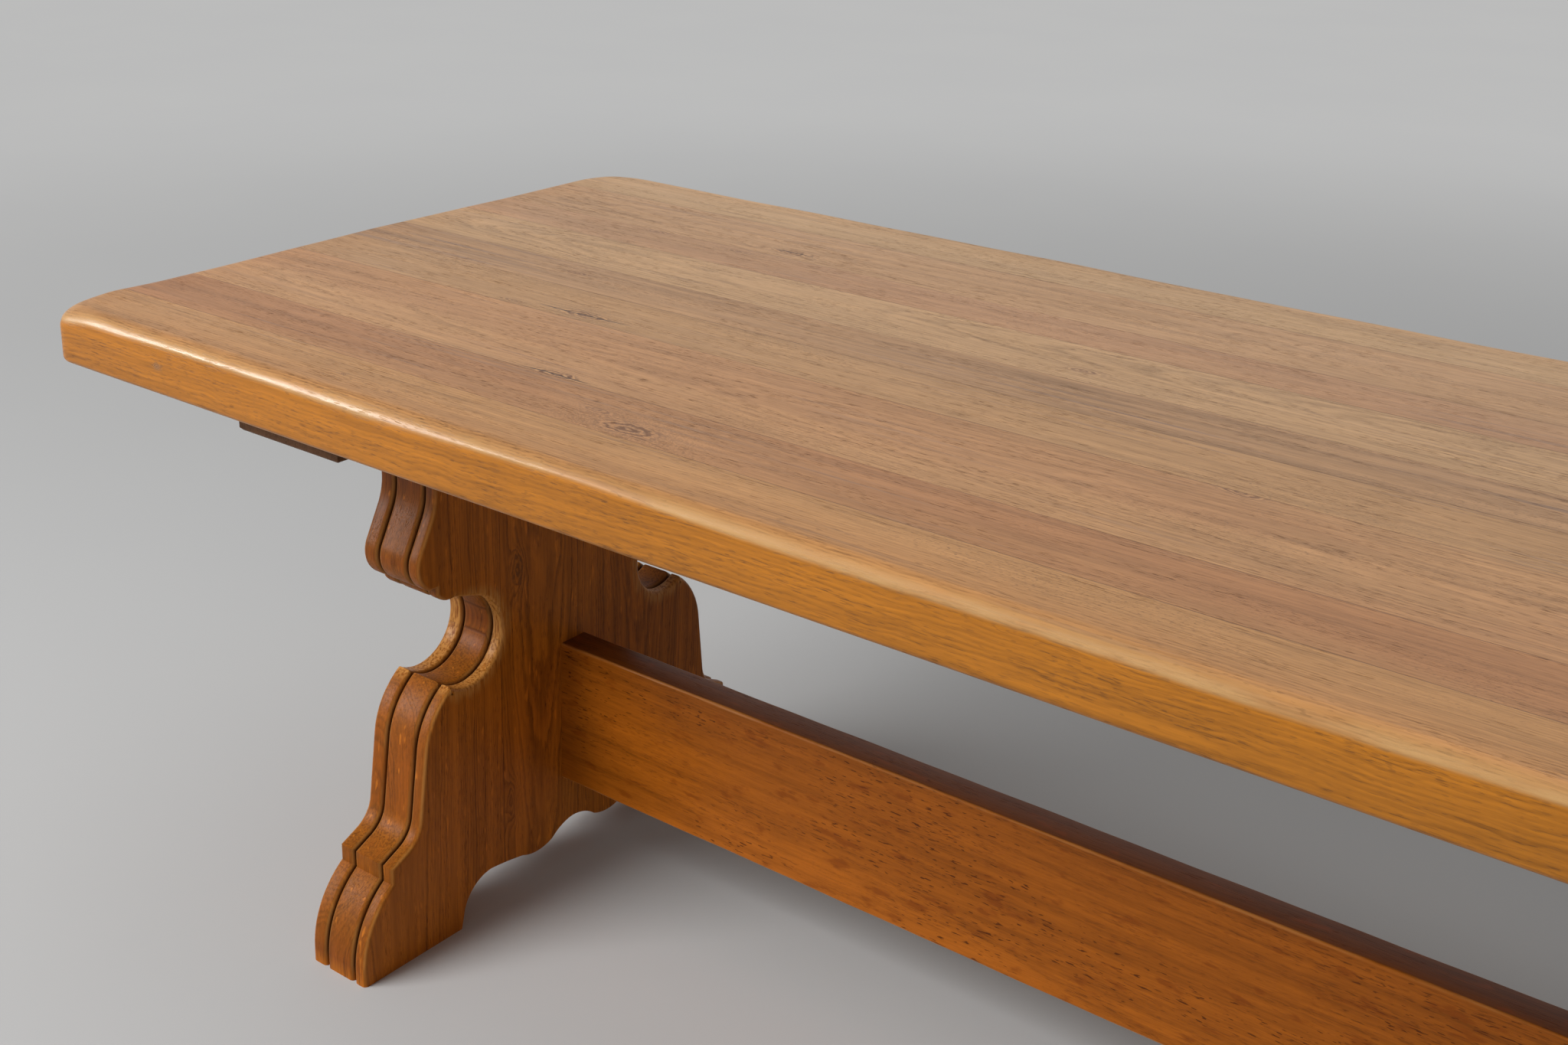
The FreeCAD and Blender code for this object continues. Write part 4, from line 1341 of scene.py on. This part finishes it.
def top_staves() -> list[Stave]:
    """List the staves of the top.

    Returns:
        The staves from the near side to the far side.
    """
    rows = (
        # width, slot, tone, heart, lean, curl, look, knots
        (0.086, "tan", (0.430, 0.213, 0.076), (-0.53, 0.66), (0.010, 0.010), 0.005,
         Look(rings=0.28, clouds=0.6, pores=0.5, ticks=0.6, flecks=0.35),
         (Knot(-1.02, -0.45, 0.006, 0.0035, 0.006, 0.9, level=0.728),
          Knot(-0.79, -0.405, 0.005, 0.002, 0.002, 0.9, level=0.76),
          Knot(-0.72, -0.412, 0.005, 0.002, 0.002, 0.8, level=0.76))),
        (0.088, "brown", (0.390, 0.184, 0.071), (-0.44, 0.66), (0.014, 0.020), 0.002,
         Look(mineral=0.5, drift=0.6),
         (Knot(-0.491, -0.343, 0.034, 0.014, 0.012, 0.8, ripples=0.30),
          Knot(-0.545, -0.322, 0.020, 0.007, 0.004, 0.5), Knot(0.62, -0.31, 0.02))),
        (0.153, "pale", (0.462, 0.239, 0.099), (-0.195, 0.69), (0.004, 0.030), 0.0,
         Look(rings=0.18, clouds=0.5, drift=0.6),
         (Knot(-0.642, -0.271, 0.026, 0.009, 0.010, 0.9, 0.05, ripples=0.10),
          Knot(-0.02, -0.125, 0.02, 0.007))),
        (0.088, "pale", (0.424, 0.227, 0.094), (-0.30, 0.62), (0.0, 0.010), 0.0,
         Look(mineral=0.45),
         (Knot(-0.754, -0.105, 0.034, 0.011, 0.010, 0.8, 0.075, ripples=0.14),
          Knot(-0.845, -0.115, 0.016, 0.006, 0.008, 0.5))),
        (0.082, "brown", (0.385, 0.207, 0.092), (0.07, 0.60), (-0.006, 0.008), 0.003,
         Look(streaks=0.55, mineral=0.7, clouds=0.5),
         (Knot(-0.870, 0.014, 0.018, 0.006, 0.010, 0.6),)),
        (0.108, "pale", (0.480, 0.276, 0.127), (0.12, 0.70), (0.006, 0.034), 0.0,
         Look(rings=0.26, clouds=0.5),
         (Knot(-0.270, 0.079, 0.018, 0.007, 0.010, 0.7),)),
        (0.073, "brown", (0.444, 0.238, 0.110), (0.10, 0.64), (0.010, 0.010), 0.002,
         Look(mineral=0.5, drift=0.6),
         (Knot(-0.925, 0.222, 0.015, 0.006, 0.008, 0.6),
          Knot(-0.795, 0.215, 0.017, 0.006, 0.008, 0.5))),
        (0.119, "tan", (0.466, 0.256, 0.118), (0.29, 0.67), (0.0, 0.024), 0.008,
         Look(rings=0.22, clouds=0.6),
         (Knot(-0.745, 0.254, 0.026, 0.010, 0.014, 0.7, 0.03, ripples=0.12),
          Knot(0.30, 0.29, 0.018))),
        (0.103, "pale", (0.500, 0.296, 0.140), (0.62, 0.60), (0.004, 0.006), 0.0,
         Look(ticks=0.15), ()),
    )
    staves = []
    low = -0.45
    for number, (width, slot, tone, heart, lean, curl, look, knots) in enumerate(rows, start=1):
        wood = Oak(f"stave_{number}_oak", Grain.LENGTHWISE, tone, look, heart=heart, lean=lean,
                   curl=curl, knots=knots, seed=number * 3.7, side=GOLD, wear_and_highlight=ARRIS_WEAR_AND_HIGHLIGHT,
                   rim=RIM, edges=(low if number > 1 else -1.0,
                                   low + width if number < len(rows) else 1.0))
        staves.append(Stave(width, f"top_oak_{slot}", wood))
        low += width
    return staves


def trestle_woods(glue_lines: tuple[float, float, float]) -> dict[str, Oak]:
    """Give the wood of each of a trestle's boards.

    Args:
        glue_lines: where the boards meet.

    Returns:
        The woods by board.
    """
    one, two, three = glue_lines
    rows = {"wide_foot": ((-0.30, -0.04), (-1.0, one), ()),
            "wide_scroll": ((-0.26, 0.12), (-1.0, one), ()),
            "narrow_board": ((-0.06, -0.06), (one, two),
                             (Knot(0.433, -0.095, 0.026, 0.013, 0.012, 0.55),
                              Knot(0.137, -0.110, 0.030, 0.009, 0.012, 0.1))),
            "wide_board": ((0.12, -0.05), (two, three), ()),
            "narrow_foot": ((0.34, 0.14), (three, 1.0), ()),
            "narrow_scroll": ((0.33, 0.10), (three, 1.0), ())}
    look = Look(rings=0.50, streaks=0.5, fibre=0.7, clouds=0.7, mottle=0.5, pores=0.6,
                ticks=0.0, mineral=0.0, flames=0.42)
    # Worn colour: pale wear round the cut-outs and on the bands' crests, with a painted highlight
    # on the crests.
    return {name: Oak(name, Grain.UPRIGHT, (0.405, 0.120, 0.009), look, heart=heart,
                      lean=(0.01, 0.03), knots=knots, seed=number * 5.1, rough=0.38, gloss=0.16,
                      side=(0.228, 0.057, 0.004), wear_and_highlight=(0.53, 0.235, 0.055),
                      ash=(0.16, 0.055, 0.010), grooved=True, edges=edges)
            for number, (name, (heart, edges, knots)) in enumerate(rows.items())}


# The stretcher's side colour is painted shade, which its flank mark lays on the upper face and the
# upper sides; its worn colour is pale wear with a painted highlight along the arrises.
STRETCHER_OAK = Oak("stretcher_oak", Grain.UPRIGHT_PLANK, (0.400, 0.110, 0.007),
                    Look(rings=0.14, streaks=0.4, clouds=0.8, mottle=0.6, pores=0.5, ticks=0.2,
                         flecks=0.95, blush=0.65, mineral=0.0),
                    heart=(0.12, 0.25), seed=2.3, gloss=0.2, side=(0.150, 0.040, 0.004),
                    wear_and_highlight=(0.50, 0.20, 0.05))
BEARER_OAK = Oak("bearer_oak", Grain.CROSSWISE, (0.15, 0.070, 0.032), heart=(0.0, 0.9),
                 seed=8.8, rough=0.75, gloss=0.2)
PLUG_OAK = Oak("plug_oak", Grain.LENGTHWISE, (0.20, 0.080, 0.025), heart=(0.0, 0.1),
               seed=4.4, rough=0.5, gloss=0.25)


# ---------------------------------------------------------------- studio

@dataclass
class Studio:
    """The pale floor, the soft lights and the camera."""

    eye: tuple[float, float, float] = (0.53584, -1.55469, 1.33118)
    yaw: float = -0.677
    pitch: float = 0.383
    roll: float = 0.019
    lens: float = 44.19
    shift: tuple[float, float] = (0.0706, -0.0126)

    def build(self) -> None:
        """Set up floor, lights and camera."""
        self.lay_floor()
        self.light()
        self.aim()

    def open_to_view(self, shade: Shade) -> Value:
        """Tell what is looked at from what is only lit.

        Args:
            shade: the material or world that asks.

        Returns:
            1 for what the camera, a reflection or a look through glass sees, else 0.
        """
        path = shade.node("ShaderNodeLightPath")
        rays = [Value(shade, path.outputs[f"Is {kind} Ray"])
                for kind in ("Camera", "Glossy", "Transmission")]
        return shade.math("MAXIMUM", shade.math("MAXIMUM", rays[0], rays[1]), rays[2])

    def lay_floor(self) -> None:
        """Lay a wide pale floor."""
        mesh = bpy.data.meshes.new("floor")
        reach = 40.0
        corners = [(-reach, -reach, 0), (reach, -reach, 0), (reach, reach, 0), (-reach, reach, 0)]
        mesh.from_pydata(corners, [], [(0, 1, 2, 3)])
        shade = Shade(bpy.data.materials.new("pale_floor"))
        spot = shade.position()
        cloud = shade.noise(spot["X"] * 1.5, spot["Y"] * 1.5, 0.0, 3.0)
        colour = shade.blend(cloud, (0.49, 0.49, 0.49), (0.51, 0.51, 0.505))
        lit = shade.node("ShaderNodeBsdfPrincipled", {"Base Color": colour, "Roughness": 0.8})
        seen = self.open_to_view(shade)
        far = ((spot["X"] ** 2 + spot["Y"] ** 2) ** 0.5).smooth(1.6, 6.0)
        pale = shade.node("ShaderNodeEmission", {"Color": colour, "Strength": 1.0})
        mixed = shade.node("ShaderNodeMixShader",
                           {0: seen * far, 1: lit.outputs[0], 2: pale.outputs[0]})
        shade.node("ShaderNodeOutputMaterial", {"Surface": mixed.outputs[0]})
        mesh.materials.append(shade.owner)
        floor = link("floor", mesh)

    def light(self) -> None:
        """Light the table softly, most of it from the near left, the rest all round.

        The key gives no reflection of itself and the window nothing but its reflection. The
        world's light is dim on the table, and pale where the camera or a reflection sees it.
        """
        world = bpy.data.worlds.new("studio")
        bpy.context.scene.world = world
        shade = Shade(world)
        strength = self.open_to_view(shade) * 0.30 + 0.24
        sky = shade.node("ShaderNodeBackground",
                         {"Color": (1.0, 1.0, 1.0, 1.0), "Strength": strength})
        shade.node("ShaderNodeOutputWorld", {"Surface": sky.outputs[0]})
        for name, spot, target, size, power in (
                ("key", (-3.0, -4.35, 4.45), (-0.3, 0.0, 0.4), 3.6, 440.0),
                ("window", (-3.9, -2.85, 1.94), (-0.9, -0.45, 0.7), 1.3, 104.0),
                ("overhead", (0.2, 0.8, 3.4), (0.0, 0.0, 0.5), 3.0, 18.0)):
            lamp = bpy.data.lights.new(name, "AREA")
            lamp.size = size
            lamp.energy = power
            bulb = link(name, lamp)
            bulb.visible_glossy = name != "key"
            bulb.visible_diffuse = name != "window"
            bulb.location = spot
            way = Vector(target) - Vector(spot)
            bulb.rotation_euler = way.to_track_quat("-Z", "Y").to_euler()

    def aim(self) -> None:
        """Stand the camera at its place; its frame is turned by the roll about its axis."""
        yaw, pitch, roll = self.yaw, self.pitch, self.roll
        ahead = np.array([math.sin(yaw) * math.cos(pitch), math.cos(yaw) * math.cos(pitch),
                          -math.sin(pitch)])
        right = np.array([math.cos(yaw), -math.sin(yaw), 0.0])
        up = np.cross(right, ahead)
        turned_right = right * math.cos(roll) + up * math.sin(roll)
        turned_up = up * math.cos(roll) - right * math.sin(roll)
        lens = bpy.data.cameras.new("camera")
        lens.lens = self.lens
        lens.shift_x, lens.shift_y = self.shift
        camera = link("camera", lens)
        matrix = np.eye(4)
        matrix[:3, 0], matrix[:3, 1], matrix[:3, 2] = turned_right, turned_up, -ahead
        matrix[:3, 3] = self.eye
        camera.matrix_world = Matrix(matrix.tolist())
        bpy.context.scene.camera = camera
        bpy.context.scene.view_settings.view_transform = "Standard"


def main() -> None:
    """Build the table's looks piece by piece."""
    logging.basicConfig(level=logging.INFO, format="%(name)s: %(message)s")
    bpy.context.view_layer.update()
    Top().build(top_staves())
    trestle = Trestle()
    trestle.build(trestle_woods(trestle.glue_lines))
    Stretcher().build(STRETCHER_OAK)
    Plugs().build(PLUG_OAK)
    dress_nodes(("left_bearer", "right_bearer"), BEARER_OAK.material())
    dress_nodes(("bed_bolts", "bed_bolt_washers", "barrel_nuts", "bearer_screws",
                 "bearer_screw_washers", "top_screws", "top_screw_washers"), steel())
    Studio().build()


if __name__ == "__main__":
    main()
